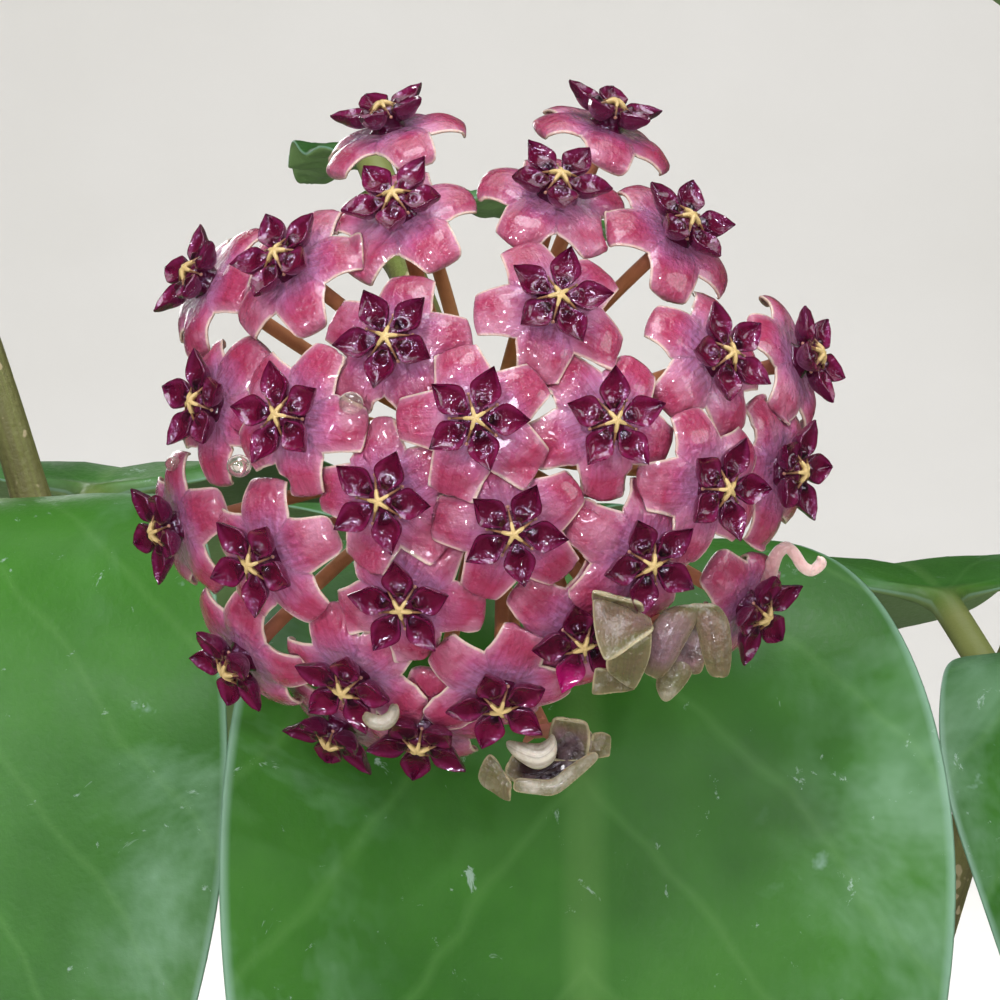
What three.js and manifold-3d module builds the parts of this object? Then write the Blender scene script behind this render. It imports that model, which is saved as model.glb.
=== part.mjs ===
// A potted hoya in flower: a plain clay pot of potting mix, three twining stems with thick
// opposite leaves, and one umbel of star-shaped blooms on its stalk.
// Millimetres, +Z up. The origin is the middle of the pot's foot, and the umbel faces -Y.
import * as THREE from 'three';
import { mergeVertices } from 'three/addons/utils/BufferGeometryUtils.js';
import Module from 'manifold-3d';

const wasm = await Module();
wasm.setup();

// Driving dimensions
const clearance = 0.3; // air between two pieces that touch on the real plant

const pot = {
  rimRadius: 74, neckRadius: 67, footRadius: 50, height: 128, rimDepth: 27, wall: 6, floor: 9,
  chamfer: 1.5, sides: 32, drainHoles: 3, drainRadius: 5, drainCircle: 26,
};
const soil = { level: 113, sides: 20, rings: 4, roughness: 2.4 };
const stemTube = { rootRadius: 2.9, tipRadius: 2, nodeSwell: 0.8, nodeLength: 7, sides: 6, steps: 18 };
const stemDepth = 24; // how far the stems stand in the mix

const umbel = {
  apex: new THREE.Vector3(0, -100, 300), // where the bloom stalks meet
  knobRadius: 3.8,
  stalkRadius: 1.9,
  pedicelRadius: 0.72,
};
const corolla = {
  lobes: 5, tipRadius: 7.5, cornerRadius: 7.1, cornerAngle: 18, sinusRadius: 4.5,
  flatRadius: 3, bendRadius: 5.2, thickness: 0.7,
};
const corona = {
  height: 2.9, tipRadius: 4.9, tipRise: 2.2, shoulderRadius: 3.3, shoulderAngle: 19, shoulderRise: 1.8,
  valleyRadius: 1.6, valleyRise: 1.2, thickness: 0.9,
};

// The blooms are placed by how they look from in front: from this far off, and this far right of and
// below the apex
const viewer = { distance: 460, right: 1.5, below: 5 };

// Each open bloom: how far right of and above the apex it looks, its reach from there (mm), its turn
// (degrees) and, where a fading neighbour lies on it, the lobe tucked under that one
const openBlooms = [
  [-30.4, 18.3, 37.0, 68], [-21.3, 20.1, 37.0, 23], [-9.4, 26.0, 36.8, 39], [7.7, 28.0, 36.8, 34],
  [21.0, 23.7, 37.2, 57], [-10.1, 11.5, 36.8, 26], [7.6, 15.7, 37.2, 58], [25.1, 9.9, 36.8, 22],
  [34.1, 9.8, 37.2, 35], [-29.8, 4.9, 36.0, 69], [-21.2, 3.6, 37.2, 8], [-1.0, 3.2, 38.0, 52],
  [13.3, 3.0, 37.2, 1], [24.7, -4.0, 38.2, 53], [32.4, -2.2, 36.8, 58], [-33.7, -8.4, 37.0, 38],
  [-23.9, -11.7, 37.8, 38], [-10.8, -5.2, 36.8, 50], [2.9, -8.5, 37.8, 48], [17.0, -11.7, 37.8, 24],
  [-8.6, -16.2, 36.8, 3], [-26.4, -22.6, 37.2, 17], [-14.5, -24.6, 36.8, 57], [10.0, -20.0, 36.8, 15, 3],
  [1.5, -26.4, 37.2, 17], [28.6, -17.0, 36.8, 11, 1], [-15.9, -30.0, 35.0, 14], [-6.8, -30.4, 36.8, 25],
  [-10.5, 35.0, 37.4, 30], [13.3, 35.2, 38.4, 62],
];

// Each fading bloom: as above, its size as a share of an open one, and its lobes' fold (degrees
// forwards), or 'bud' for one that has shut
const spentBlooms = [
  [14.6, -19.1, 42.0, 20, 0.7, 'bud'], [20.6, -20.3, 40.4, 60, 0.68, -76], [6.4, -31.4, 33.6, 8, 0.88, 48],
];

// Each stem's path, from the mix to its tip
const stemPaths = [
  [[4, -4, 90], [6, -8, 140], [5, -22, 220], [0, -38, 292], [-8, -28, 318], [-14, -10, 330]],
  [[-14, 8, 90], [-22, 6, 140], [-38, -6, 215], [-50, -24, 284], [-66, -26, 332], [-86, -14, 362]],
  [[14, 10, 90], [24, 14, 140], [44, 20, 200], [62, 12, 262], [76, 4, 312], [84, 6, 342]],
];

// Each leaf: stem, place along it, heading (degrees from -Y towards +X), pitch at the root, pitch of the
// hanging blade, roll, petiole length, blade length and width (mm)
const leaves = [
  [0, 0.757, 8.5, 18, -86, 0, 30, 142, 76],
  [0, 0.757, -167, 30, -30, 0, 18, 104, 56],
  [0, 0.49, 56, 24, -34, 4, 18, 112, 62],
  [0, 0.49, -56, 22, -44, -4, 18, 92, 54],
  [0, 0.23, 16, 34, -30, 0, 18, 104, 58],
  [0, 0.23, -164, 34, -26, 0, 18, 100, 56],
  [0, 0.98, 136, 24, -8, 0, 6, 30, 14],
  [0, 0.98, -162, 38, -4, 0, 6, 28, 14],
  [1, 0.70, -9, 24, -84, 0, 22, 126, 63],
  [1, 0.70, 171, 30, -20, 0, 18, 104, 56],
  [1, 0.40, -102, 24, -34, -6, 18, 110, 60],
  [1, 0.40, 150, 40, -4, 0, 18, 100, 56],
  [1, 0.98, -110, 44, 4, 0, 15, 92, 48],
  [1, 0.98, 60, 66, 30, 0, 14, 80, 42],
  [2, 0.72, 20, 20, -60, 6, 18, 112, 60],
  [2, 0.72, -160, 34, -16, 0, 18, 104, 56],
  [2, 0.40, 124, 26, -30, 4, 18, 112, 62],
  [2, 0.40, -160, 30, -40, 0, 18, 104, 56],
  [2, 0.98, 100, 44, -10, 0, 15, 94, 50],
  [2, 0.98, -60, 66, 30, 0, 14, 80, 42],
];

// Materials
const finish = (color, roughness) => new THREE.MeshStandardMaterial({ color, roughness, metalness: 0 });
const clay = finish(0xb5683f, 0.85);
const mix = finish(0x3b2a1e, 0.95);
const bark = finish(0x6b6a3a, 0.6);
const leafGreen = finish(0x2f6426, 0.35);
const petalRose = finish(0xb8486a, 0.3);
const coronaMaroon = finish(0x5a0f30, 0.15);
const fadedOlive = finish(0x8b8355, 0.45);

// Shape tools
const radians = THREE.MathUtils.degToRad;
const point = (x, y, z) => new THREE.Vector3(x, y, z);
const smooth = (t) => THREE.MathUtils.smoothstep(t, 0, 1);

// A closed skin over a row of rings, from a first point to a last one. Rings have one count, or the next
// has a fraction of it. turned(i, j) says which way a quad is split, so that both faces of a thin blade
// are split alike.
function closedSkin(first, rings, last, turned = () => false) {
  const corners = [first];
  const starts = rings.map((ring) => {
    const start = corners.length;
    corners.push(...ring);
    return start;
  });
  corners.push(last);
  const faces = [];
  const count = rings[0].length;
  for (let j = 0; j < count; j++) faces.push(0, starts[0] + j, starts[0] + ((j + 1) % count));
  for (let i = 0; i + 1 < rings.length; i++) {
    const wide = rings[i].length;
    const ratio = wide / rings[i + 1].length;
    for (let j = 0; j < wide; j++) {
      const next = (j + 1) % wide;
      const a = starts[i] + j;
      const b = starts[i] + next;
      const c = starts[i + 1] + Math.floor(j / ratio);
      const d = starts[i + 1] + Math.floor(next / ratio);
      if (c === d) faces.push(a, c, b);
      else if (turned(i, j)) faces.push(a, c, b, b, c, d);
      else faces.push(a, c, d, a, d, b);
    }
  }
  const end = rings[rings.length - 1].length;
  const base = starts[rings.length - 1];
  for (let j = 0; j < end; j++) faces.push(corners.length - 1, base + ((j + 1) % end), base + j);
  const geometry = new THREE.BufferGeometry().setFromPoints(corners);
  geometry.setIndex(faces);
  return geometry;
}

function toSolid(geometry) {
  const bare = geometry.clone();
  bare.deleteAttribute('normal');
  bare.deleteAttribute('uv');
  const merged = mergeVertices(bare, 1e-4);
  return new wasm.Manifold(new wasm.Mesh({
    numProp: 3,
    vertProperties: merged.attributes.position.array,
    triVerts: new Uint32Array(merged.index.array),
  }));
}

function toGeometry(solid) {
  const made = solid.getMesh();
  const geometry = new THREE.BufferGeometry();
  geometry.setAttribute('position', new THREE.BufferAttribute(made.vertProperties, 3));
  geometry.setIndex(new THREE.BufferAttribute(made.triVerts, 1));
  geometry.computeVertexNormals();
  return geometry;
}

const plant = new THREE.Group();

function addMesh(name, geometry, material) {
  const mesh = new THREE.Mesh(geometry, material);
  mesh.name = name;
  plant.add(mesh);
}

// Pot: a turned clay wall with a rim band, and drain holes round its middle
function makePot() {
  const { rimRadius, neckRadius, footRadius, height, rimDepth, wall, floor, chamfer } = pot;
  const profile = [
    [0, 0], [footRadius - chamfer, 0], [footRadius, chamfer], [neckRadius, height - rimDepth],
    [rimRadius - 2 * chamfer, height - rimDepth], [rimRadius, height - chamfer], [rimRadius - chamfer, height],
    [rimRadius - wall + chamfer, height], [rimRadius - wall, height - chamfer],
    [neckRadius - wall, height - rimDepth - wall], [footRadius - wall + 1, floor], [0, floor],
  ].map(([r, z]) => new THREE.Vector2(r, z));
  let wallSolid = toSolid(new THREE.LatheGeometry(profile, pot.sides).rotateX(Math.PI / 2));
  for (let i = 0; i < pot.drainHoles; i++) {
    const angle = (i + 0.5) * 2 * Math.PI / pot.drainHoles;
    const drill = new THREE.CylinderGeometry(pot.drainRadius, pot.drainRadius, 3 * floor, 12);
    drill.rotateX(Math.PI / 2).translate(pot.drainCircle, 0, 0).rotateZ(angle);
    wallSolid = wallSolid.subtract(toSolid(drill));
  }
  addMesh('pot', toGeometry(wallSolid), clay);
}

// The pot's inner radius at a height
function innerRadius(z) {
  const { rimRadius, neckRadius, footRadius, height, rimDepth, wall, floor } = pot;
  const shoulder = height - rimDepth - wall;
  if (z > shoulder) {
    return THREE.MathUtils.mapLinear(z, shoulder, height, neckRadius - wall, rimRadius - wall);
  }
  return THREE.MathUtils.mapLinear(z, floor, shoulder, footRadius - wall + 1, neckRadius - wall);
}

// Potting mix: fills the pot to its level, with a lumpy top and a plain hole for each stem
function makeSoil(stemSolids) {
  const inscribed = Math.cos(Math.PI / pot.sides); // the faceted wall's nearest point to the axis
  const lump = (x, y) => soil.roughness * 0.5 * (Math.sin(0.21 * x + 1.3) * Math.cos(0.17 * y)
    + Math.sin(0.34 * y + 0.11 * x));
  const ring = (radius, z) => Array.from({ length: soil.sides }, (_, j) => {
    const angle = 2 * Math.PI * j / soil.sides;
    return point(radius * Math.cos(angle), radius * Math.sin(angle), z);
  });
  const rings = [];
  const topRadius = innerRadius(soil.level - soil.roughness) * inscribed - clearance;
  for (let k = 1; k <= soil.rings; k++) {
    const top = ring(topRadius * k / soil.rings, soil.level);
    const edge = k === soil.rings ? 0 : 1;
    top.forEach((p) => { p.z += edge * lump(p.x, p.y); });
    rings.push(top);
  }
  const shoulder = pot.height - pot.rimDepth - pot.wall;
  rings.push(ring(innerRadius(shoulder) * inscribed - clearance, shoulder));
  const foot = pot.floor + clearance;
  rings.push(ring(innerRadius(foot) * inscribed - clearance, foot));
  const first = point(0, 0, soil.level + lump(0, 0));
  let solid = toSolid(closedSkin(first, rings, point(0, 0, foot)));
  stemSolids.forEach((hole) => { solid = solid.subtract(hole); });
  addMesh('potting_mix', toGeometry(solid), mix);
}

// A round tube of changing radius along a curve that never runs along X, with a ring at each station
function tube(curve, stations, sides, radiusAt) {
  const rings = stations.map((t) => {
    const ahead = curve.getTangentAt(t);
    const side = point(1, 0, 0).addScaledVector(ahead, -ahead.x).normalize();
    const square = new THREE.Vector3().crossVectors(ahead, side);
    return Array.from({ length: sides }, (_, j) => {
      const angle = 2 * Math.PI * j / sides;
      return curve.getPointAt(t)
        .addScaledVector(side, radiusAt(t) * Math.cos(angle))
        .addScaledVector(square, -radiusAt(t) * Math.sin(angle));
    });
  });
  return closedSkin(curve.getPointAt(0), rings, curve.getPointAt(1));
}

const evenly = (steps) => Array.from({ length: steps + 1 }, (_, i) => i / steps);

const stemCurves = stemPaths.map((path) => new THREE.CatmullRomCurve3(path.map((p) => point(...p))));
const nodePlaces = stemPaths.map((_, s) => [
  ...new Set(leaves.filter((leaf) => leaf[0] === s).map((leaf) => leaf[1])),
]);

function stemRadius(s, t) {
  const length = stemCurves[s].getLength();
  const plain = THREE.MathUtils.lerp(stemTube.rootRadius, stemTube.tipRadius, t);
  const swell = nodePlaces[s].reduce((most, place) => {
    const away = Math.abs(t - place) * length / stemTube.nodeLength;
    return Math.max(most, Math.exp(-away * away));
  }, 0);
  return plain + stemTube.nodeSwell * swell;
}

function makeStems() {
  stemCurves.forEach((curve, s) => {
    const near = (t) => nodePlaces[s].some((place) => Math.abs(t - place) < 0.4 / stemTube.steps);
    const between = evenly(stemTube.steps).filter((t) => t === 0 || t === 1 || !near(t));
    const stations = [...between, ...nodePlaces[s]].sort((a, b) => a - b);
    const geometry = tube(curve, stations, stemTube.sides, (t) => stemRadius(s, t));
    addMesh(`stem_${s + 1}`, geometry, bark);
  });
}

// The plain holes that the stems stand in: each stem's foot, grown by the clearance
function stemHoles() {
  return stemCurves.map((curve, s) => {
    const foot = curve.getPointAt(0);
    const along = curve.getTangentAt(0);
    const path = new THREE.LineCurve3(
      foot.clone().addScaledVector(along, -clearance),
      foot.clone().addScaledVector(along, 2 * stemDepth),
    );
    const wide = stemRadius(s, 0) + 4 * clearance;
    return toSolid(tube(path, [0, 1], stemTube.sides, () => wide));
  });
}

// Half width of a leaf at a share u of its blade: round base, widest before the middle, drawn-out point
function leafOutline(u) {
  const belly = Math.max(0, Math.sin(Math.PI * Math.pow(u, 0.72)));
  return Math.pow(belly, 0.54) * (1 - 0.29 * u) * 1.1;
}

// A leaf: its petiole and its thick blade, skinned over one row of rings along a drooping spine
function makeLeaf(name, [s, place, heading, rootPitch, bladePitch, roll, petiole, length, width]) {
  const petioleRadius = 2;
  const thick = 1.7;
  const ribShare = 0.35; // how much thicker the midrib is below
  const tip = 0.985;
  const along = (pitch) => point(
    Math.sin(radians(heading)) * Math.cos(radians(pitch)),
    -Math.cos(radians(heading)) * Math.cos(radians(pitch)),
    Math.sin(radians(pitch)),
  );
  const tangent = stemCurves[s].getTangentAt(place);
  const out = along(rootPitch);
  const slant = out.dot(tangent);
  const square = out.clone().addScaledVector(tangent, -slant).normalize();
  const seat = stemRadius(s, place) + clearance + petioleRadius * Math.abs(slant);
  const start = stemCurves[s].getPointAt(place).addScaledVector(square, seat);
  const shares = [0.02, 0.08, 0.19, 0.33, 0.5, 0.68, 0.84, tip];
  const stations = [0, petiole * 0.5, petiole * 0.92, ...shares.map((u) => petiole + u * length)];
  const bend = 0.27 * length; // the droop is spent in the blade's first part
  const spine = (distance) => {
    const samples = 40;
    const at = start.clone();
    for (let k = 0; k < samples; k++) {
      const travelled = distance * (k + 0.5) / samples;
      const share = smooth((travelled - 0.6 * petiole) / (0.4 * petiole + bend));
      at.addScaledVector(along(THREE.MathUtils.lerp(rootPitch, bladePitch, share)), distance / samples);
    }
    return at;
  };
  const rings = stations.map((distance, i) => {
    const centre = spine(distance);
    const ahead = spine(distance + 0.5).sub(centre).normalize();
    const side = point(Math.cos(radians(heading)), Math.sin(radians(heading)), 0)
      .applyAxisAngle(ahead, radians(roll));
    const up = new THREE.Vector3().crossVectors(ahead, side);
    const blade = i > 2;
    const u = (distance - petiole) / length;
    const half = blade ? Math.max(petioleRadius, leafOutline(u) * width / 2) : petioleRadius;
    const top = blade ? thick / 2 : petioleRadius;
    const low = blade ? thick * (0.5 + ribShare) : petioleRadius;
    const section = [
      [1, 0], [0.52, -0.75 * top], [0, -low], [-0.52, -0.75 * top],
      [-1, 0], [-0.52, 0.75 * top], [0, top], [0.52, 0.75 * top],
    ];
    return section.map(([x, y]) => {
      const across = x * half;
      const cup = blade ? 0.0016 * across * across + 0.05 * Math.abs(across) : 0;
      const wave = blade ? 1.1 * Math.sin(17 * u + heading) * x * x * smooth(u / 0.2) : 0;
      return centre.clone().addScaledVector(side, across).addScaledVector(up, y + cup + wave);
    });
  });
  const bottomFace = (i, j) => j < 4; // split like the top
  const first = spine(0);
  const last = spine(petiole + length * (tip + 0.012));
  addMesh(name, closedSkin(first, rings, last, bottomFace), leafGreen);
}

// Where a bloom stands: on the viewer's sight line, at its reach from the apex
function bloomCentre(right, up, reach) {
  const eye = umbel.apex.clone().add(point(viewer.right, -viewer.distance, -viewer.below));
  const sight = point(right - viewer.right, viewer.distance, up + viewer.below).normalize();
  const toApex = umbel.apex.clone().sub(eye);
  const nearest = toApex.dot(sight);
  const missed = toApex.lengthSq() - nearest * nearest;
  const depth = Math.sqrt(Math.max(0, reach * reach - missed));
  return eye.addScaledVector(sight, nearest - depth);
}

// Turns a bloom built along +Z, with its +Y up in the picture, to face away from the apex
function bloomPose(centre, turn) {
  const facing = centre.clone().sub(umbel.apex).normalize();
  const front = new THREE.Quaternion().setFromAxisAngle(point(1, 0, 0), Math.PI / 2);
  const lean = new THREE.Quaternion().setFromUnitVectors(point(0, -1, 0), facing);
  const spin = new THREE.Quaternion().setFromAxisAngle(point(0, 0, 1), radians(turn));
  return lean.multiply(front).multiply(spin);
}

// The corolla's outline: radius and angle of its sinuses, corners and tips, starting on a sinus
function corollaOutline() {
  const { lobes, tipRadius, cornerRadius, cornerAngle, sinusRadius } = corolla;
  const step = 360 / lobes;
  const outline = [];
  for (let k = 0; k < lobes; k++) {
    const middle = 90 + (k + 0.5) * step; // the lobes stand between the corona's tips
    outline.push([sinusRadius, middle - step / 2], [cornerRadius, middle - cornerAngle]);
    outline.push([tipRadius, middle], [cornerRadius, middle + cornerAngle]);
  }
  return outline;
}

// A point of the corolla's middle surface: flat out to flatRadius, then bent back over an arc. The fold
// adds degrees of bend forwards to the lobes.
function corollaPoint(radius, angle, offset, fold) {
  const { flatRadius, bendRadius } = corolla;
  const beyond = Math.max(0, radius - flatRadius);
  const bent = beyond / bendRadius;
  const full = corolla.tipRadius - flatRadius;
  const extra = radians(fold) * beyond / full;
  const tilt = extra - 0.9 * bent;
  const middle = tilt / 2;
  const out = Math.min(radius, flatRadius) + beyond * 1.12 * Math.cos(middle);
  const rise = beyond * 1.12 * Math.sin(middle);
  const across = out - offset * Math.sin(tilt);
  return point(
    across * Math.cos(radians(angle)), across * Math.sin(radians(angle)), rise + offset * Math.cos(tilt),
  );
}

// The corolla's upper and lower faces, as rings from its middle out and back, at a level along +Z
function corollaRings(level, foldOf, size) {
  const half = corolla.thickness / 2;
  const ring = (share, offset) => corollaOutline().map(([radius, angle], i) => {
    const p = corollaPoint(radius * share * size, angle, offset, foldOf(i));
    p.z += level;
    return p;
  });
  const bend = 0.5; // where the lobes start to bend, as a share of the outline
  return [ring(bend, half), ring(1, half), ring(1, -half), ring(bend, -half)];
}

const splitBelow = (i) => i > 1; // the corolla's lower face is split into triangles like its upper one

// A corolla on its pedicel, from inside the knob at the apex to the lobes, along +Z
function corollaGeometry(reach, tuckedLobe) {
  const level = reach - corona.height - corolla.thickness / 2;
  const tuck = -95; // how far a tucked lobe is folded, in degrees
  const foldOf = (i) => (i % 4 > 0 && Math.floor(i / 4) === tuckedLobe ? tuck : 0);
  const pedicel = (radius, z) => Array.from({ length: corolla.lobes }, (_, k) => {
    const angle = radians(90 + (k + 0.5) * 360 / corolla.lobes);
    return point(radius * Math.cos(angle), radius * Math.sin(angle), z);
  });
  const rings = [
    ...corollaRings(level, foldOf, 1),
    pedicel(1.3 * umbel.pedicelRadius, level - 2.2),
    pedicel(umbel.pedicelRadius, 0.5 * umbel.knobRadius),
  ];
  const first = point(0, 0, level + corolla.thickness / 2);
  return closedSkin(first, rings, point(0, 0, 0.45 * umbel.knobRadius), splitBelow);
}

// A pedicel alone, for a bloom whose corolla is a piece of its own
function pedicelGeometry(length) {
  const ring = (radius, z) => Array.from({ length: 6 }, (_, k) => {
    const angle = 2 * Math.PI * k / 6;
    return point(radius * Math.cos(angle), radius * Math.sin(angle), z);
  });
  const thin = umbel.pedicelRadius;
  const rings = [ring(1.6 * thin, length), ring(thin, length - 2.5), ring(thin, 0.55 * umbel.knobRadius)];
  return closedSkin(point(0, 0, length), rings, point(0, 0, 0.5 * umbel.knobRadius));
}

// The corona: five pointed scales round a raised crown, standing clear of the corolla
function coronaGeometry(reach) {
  const c = corona;
  const level = reach - c.height;
  const outline = [];
  for (let k = 0; k < corolla.lobes; k++) {
    const tip = 90 + k * 360 / corolla.lobes;
    const shoulderFoot = c.shoulderRise - 1.4 * c.thickness;
    const shoulder = { radius: c.shoulderRadius, rise: c.shoulderRise, foot: shoulderFoot };
    outline.push({ angle: tip, radius: c.tipRadius, rise: c.tipRise, foot: c.tipRise - c.thickness });
    outline.push({ angle: tip + c.shoulderAngle, ...shoulder });
    outline.push({ angle: tip + 36, radius: c.valleyRadius, rise: c.valleyRise, foot: clearance });
    outline.push({ angle: tip + 72 - c.shoulderAngle, ...shoulder });
  }
  const ring = (share, height) => outline.map((o) => point(
    share * o.radius * Math.cos(radians(o.angle)),
    share * o.radius * Math.sin(radians(o.angle)),
    level + o[height],
  ));
  const rings = [ring(1, 'rise'), ring(0.97, 'foot')];
  return closedSkin(point(0, 0, level + c.height), rings, point(0, 0, level + clearance));
}

// A fading bloom with folded lobes, standing clear of its pedicel
function foldedGeometry(reach, size, fold) {
  const half = corolla.thickness / 2;
  const level = reach - corona.height - half;
  const rings = corollaRings(level, () => fold, size);
  return closedSkin(point(0, 0, level + half), rings, point(0, 0, level - half), splitBelow);
}

// A fading bloom that has shut into a pleated bud
function budGeometry(reach, size) {
  const level = reach - corona.height - corolla.thickness;
  const profile = [[1.4, 0], [3.6, 1.4], [4.3, 3.8], [3.5, 6.2], [1.6, 7.8]]; // radius and height
  const rings = profile.map(([radius, z]) => Array.from({ length: 2 * corolla.lobes }, (_, k) => {
    const pleated = size * radius * (k % 2 ? 0.76 : 1);
    const angle = Math.PI * k / corolla.lobes;
    return point(pleated * Math.cos(angle), pleated * Math.sin(angle), level + size * z);
  }));
  const top = level + size * profile[profile.length - 1][1];
  return closedSkin(point(0, 0, top), rings.reverse(), point(0, 0, level));
}

function makeUmbel() {
  const { apex, knobRadius, stalkRadius } = umbel;
  const place = leaves[0][1];
  const heading = radians(-50); // it leaves the stem beside the petiole of the leaf behind it
  const away = point(Math.sin(heading), -Math.cos(heading), 0);
  const off = stemRadius(0, place) + 0.8 * stalkRadius + clearance;
  const start = stemCurves[0].getPointAt(place).addScaledVector(away, off);
  start.z += 2 * stalkRadius;
  const bow = point(-1.5, 0, 4);
  const stalkPath = new THREE.CatmullRomCurve3([start, start.clone().lerp(apex, 0.5).add(bow), apex]);
  const parts = [
    toSolid(tube(stalkPath, evenly(6), 8, () => stalkRadius)),
    toSolid(new THREE.SphereGeometry(knobRadius, 10, 7).translate(apex.x, apex.y, apex.z)),
  ];
  const placed = (geometry, centre, turn) => geometry
    .applyQuaternion(bloomPose(centre, turn)).translate(apex.x, apex.y, apex.z);
  openBlooms.forEach(([right, up, reach, turn, tuckedLobe], i) => {
    const centre = bloomCentre(right, up, reach);
    parts.push(toSolid(placed(corollaGeometry(reach, tuckedLobe), centre, turn)));
    const name = `corona_${String(i + 1).padStart(2, '0')}`;
    addMesh(name, placed(coronaGeometry(reach), centre, turn), coronaMaroon);
  });
  spentBlooms.forEach(([right, up, reach, turn, size, fold], i) => {
    const centre = bloomCentre(right, up, reach);
    const seat = reach - corona.height - corolla.thickness - clearance;
    parts.push(toSolid(placed(pedicelGeometry(seat), centre, turn)));
    const geometry = fold === 'bud' ? budGeometry(reach, size) : foldedGeometry(reach, size, fold);
    addMesh(`spent_bloom_${i + 1}`, placed(geometry, centre, turn), fadedOlive);
  });
  const bodies = wasm.Manifold.union(parts).decompose();
  const whole = bodies.reduce((most, body) => (body.volume() > most.volume() ? body : most));
  addMesh('umbel', toGeometry(whole), petalRose);
}

makePot();
makeSoil(stemHoles());
makeStems();
leaves.forEach((leaf, i) => makeLeaf(`leaf_${String(i + 1).padStart(2, '0')}`, leaf));
makeUmbel();

export default plant;
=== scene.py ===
import bpy
import numpy as np
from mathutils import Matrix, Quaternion, Vector


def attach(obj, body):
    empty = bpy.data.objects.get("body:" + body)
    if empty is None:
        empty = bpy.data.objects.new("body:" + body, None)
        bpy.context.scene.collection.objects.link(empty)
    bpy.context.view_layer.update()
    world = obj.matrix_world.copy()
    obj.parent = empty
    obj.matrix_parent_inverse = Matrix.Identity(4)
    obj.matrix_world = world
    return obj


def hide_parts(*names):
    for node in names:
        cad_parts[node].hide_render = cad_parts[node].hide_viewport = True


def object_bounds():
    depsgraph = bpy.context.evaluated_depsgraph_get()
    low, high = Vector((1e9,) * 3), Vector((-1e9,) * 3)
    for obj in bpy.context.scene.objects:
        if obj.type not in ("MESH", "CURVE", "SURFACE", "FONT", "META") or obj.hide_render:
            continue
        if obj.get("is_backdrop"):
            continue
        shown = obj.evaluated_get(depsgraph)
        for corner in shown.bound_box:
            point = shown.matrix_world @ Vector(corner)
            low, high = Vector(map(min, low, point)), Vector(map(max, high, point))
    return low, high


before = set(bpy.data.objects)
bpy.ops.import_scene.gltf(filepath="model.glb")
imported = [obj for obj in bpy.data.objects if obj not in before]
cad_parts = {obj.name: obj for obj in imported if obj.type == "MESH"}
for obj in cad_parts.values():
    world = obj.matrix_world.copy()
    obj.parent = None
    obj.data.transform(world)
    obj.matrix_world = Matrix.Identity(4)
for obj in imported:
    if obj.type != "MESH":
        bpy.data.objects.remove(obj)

# A potted hoya in flower. Lengths are in mm here and become metres when a mesh is written.
# The origin is the middle of the pot's foot, +Z is up and the umbel faces -Y.
metre = 0.001
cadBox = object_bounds()
rng = np.random.default_rng(27)


# Shape tools

# Smooth step: 0 below 0, 1 above 1, 3t^2 - 2t^3 between
def smooth(t):
    t = np.clip(t, 0.0, 1.0)
    return t * t * (3.0 - 2.0 * t)


# Round shoulders: 1 in the middle and 0 at -1 and 1, sqrt(1 - |x|^power)
def shoulders(x, power):
    return np.sqrt(np.clip(1 - np.abs(x) ** power, 0, 1))


# Even angles round a full turn
def fullTurn(count):
    return np.linspace(0, 2 * np.pi, count, endpoint=False)


# Points from radius, angle and height: (r cos a, r sin a, z)
def turned(radius, angle, height):
    return np.stack(np.broadcast_arrays(radius * np.cos(angle), radius * np.sin(angle), height), -1)


# Turn about +Z by degrees, for points that stand on its left
def aboutZ(degrees):
    a = np.radians(degrees)
    return np.array([[np.cos(a), np.sin(a), 0], [-np.sin(a), np.cos(a), 0], [0, 0, 1]])


# Vectors over their own lengths
def unit(vectors):
    return vectors / np.maximum(np.linalg.norm(vectors, axis=-1, keepdims=True), 1e-9)


# Length along a line of points, at each of them
def lengthsAlong(points):
    return np.concatenate([[0], np.cumsum(np.linalg.norm(np.diff(points, axis=0), axis=1))])


# Rows of a table at places between its own
def rowsAt(where, places, table):
    return np.stack([np.interp(where, places, column) for column in table.T], -1)


# Closed skin: rows of points round a shape, with a fan to a first and a last point
def skin(first, rings, last, marks=None, firstMark=None, lastMark=None):
    rings = np.asarray(rings, float)
    rows, cols = rings.shape[:2]
    points = np.concatenate([[first], rings.reshape(-1, 3), [last]])
    here = np.arange(cols)
    after = np.roll(here, -1)
    base = 1 + cols * np.arange(rows - 1)[:, None]
    quads = np.stack([base + here, base + cols + here, base + cols + after, base + after], -1)
    end = 1 + cols * (rows - 1)
    front = np.stack([np.zeros(cols, int), 1 + here, 1 + after], -1)
    back = np.stack([np.full(cols, len(points) - 1), end + after, end + here], -1)
    if marks is None:
        marks = np.zeros((rows, cols, 4))
    firstMark = marks[0].mean(0) if firstMark is None else firstMark
    lastMark = marks[-1].mean(0) if lastMark is None else lastMark
    marks = np.concatenate([[firstMark], np.asarray(marks, float).reshape(-1, 4), [lastMark]])
    return points, quads.reshape(-1, 4), np.concatenate([front, back]), marks


# Moves a skin's points by a function and keeps its faces
def moved(part, change):
    points, quads, tris, marks = part
    return change(points), quads, tris, marks


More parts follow.
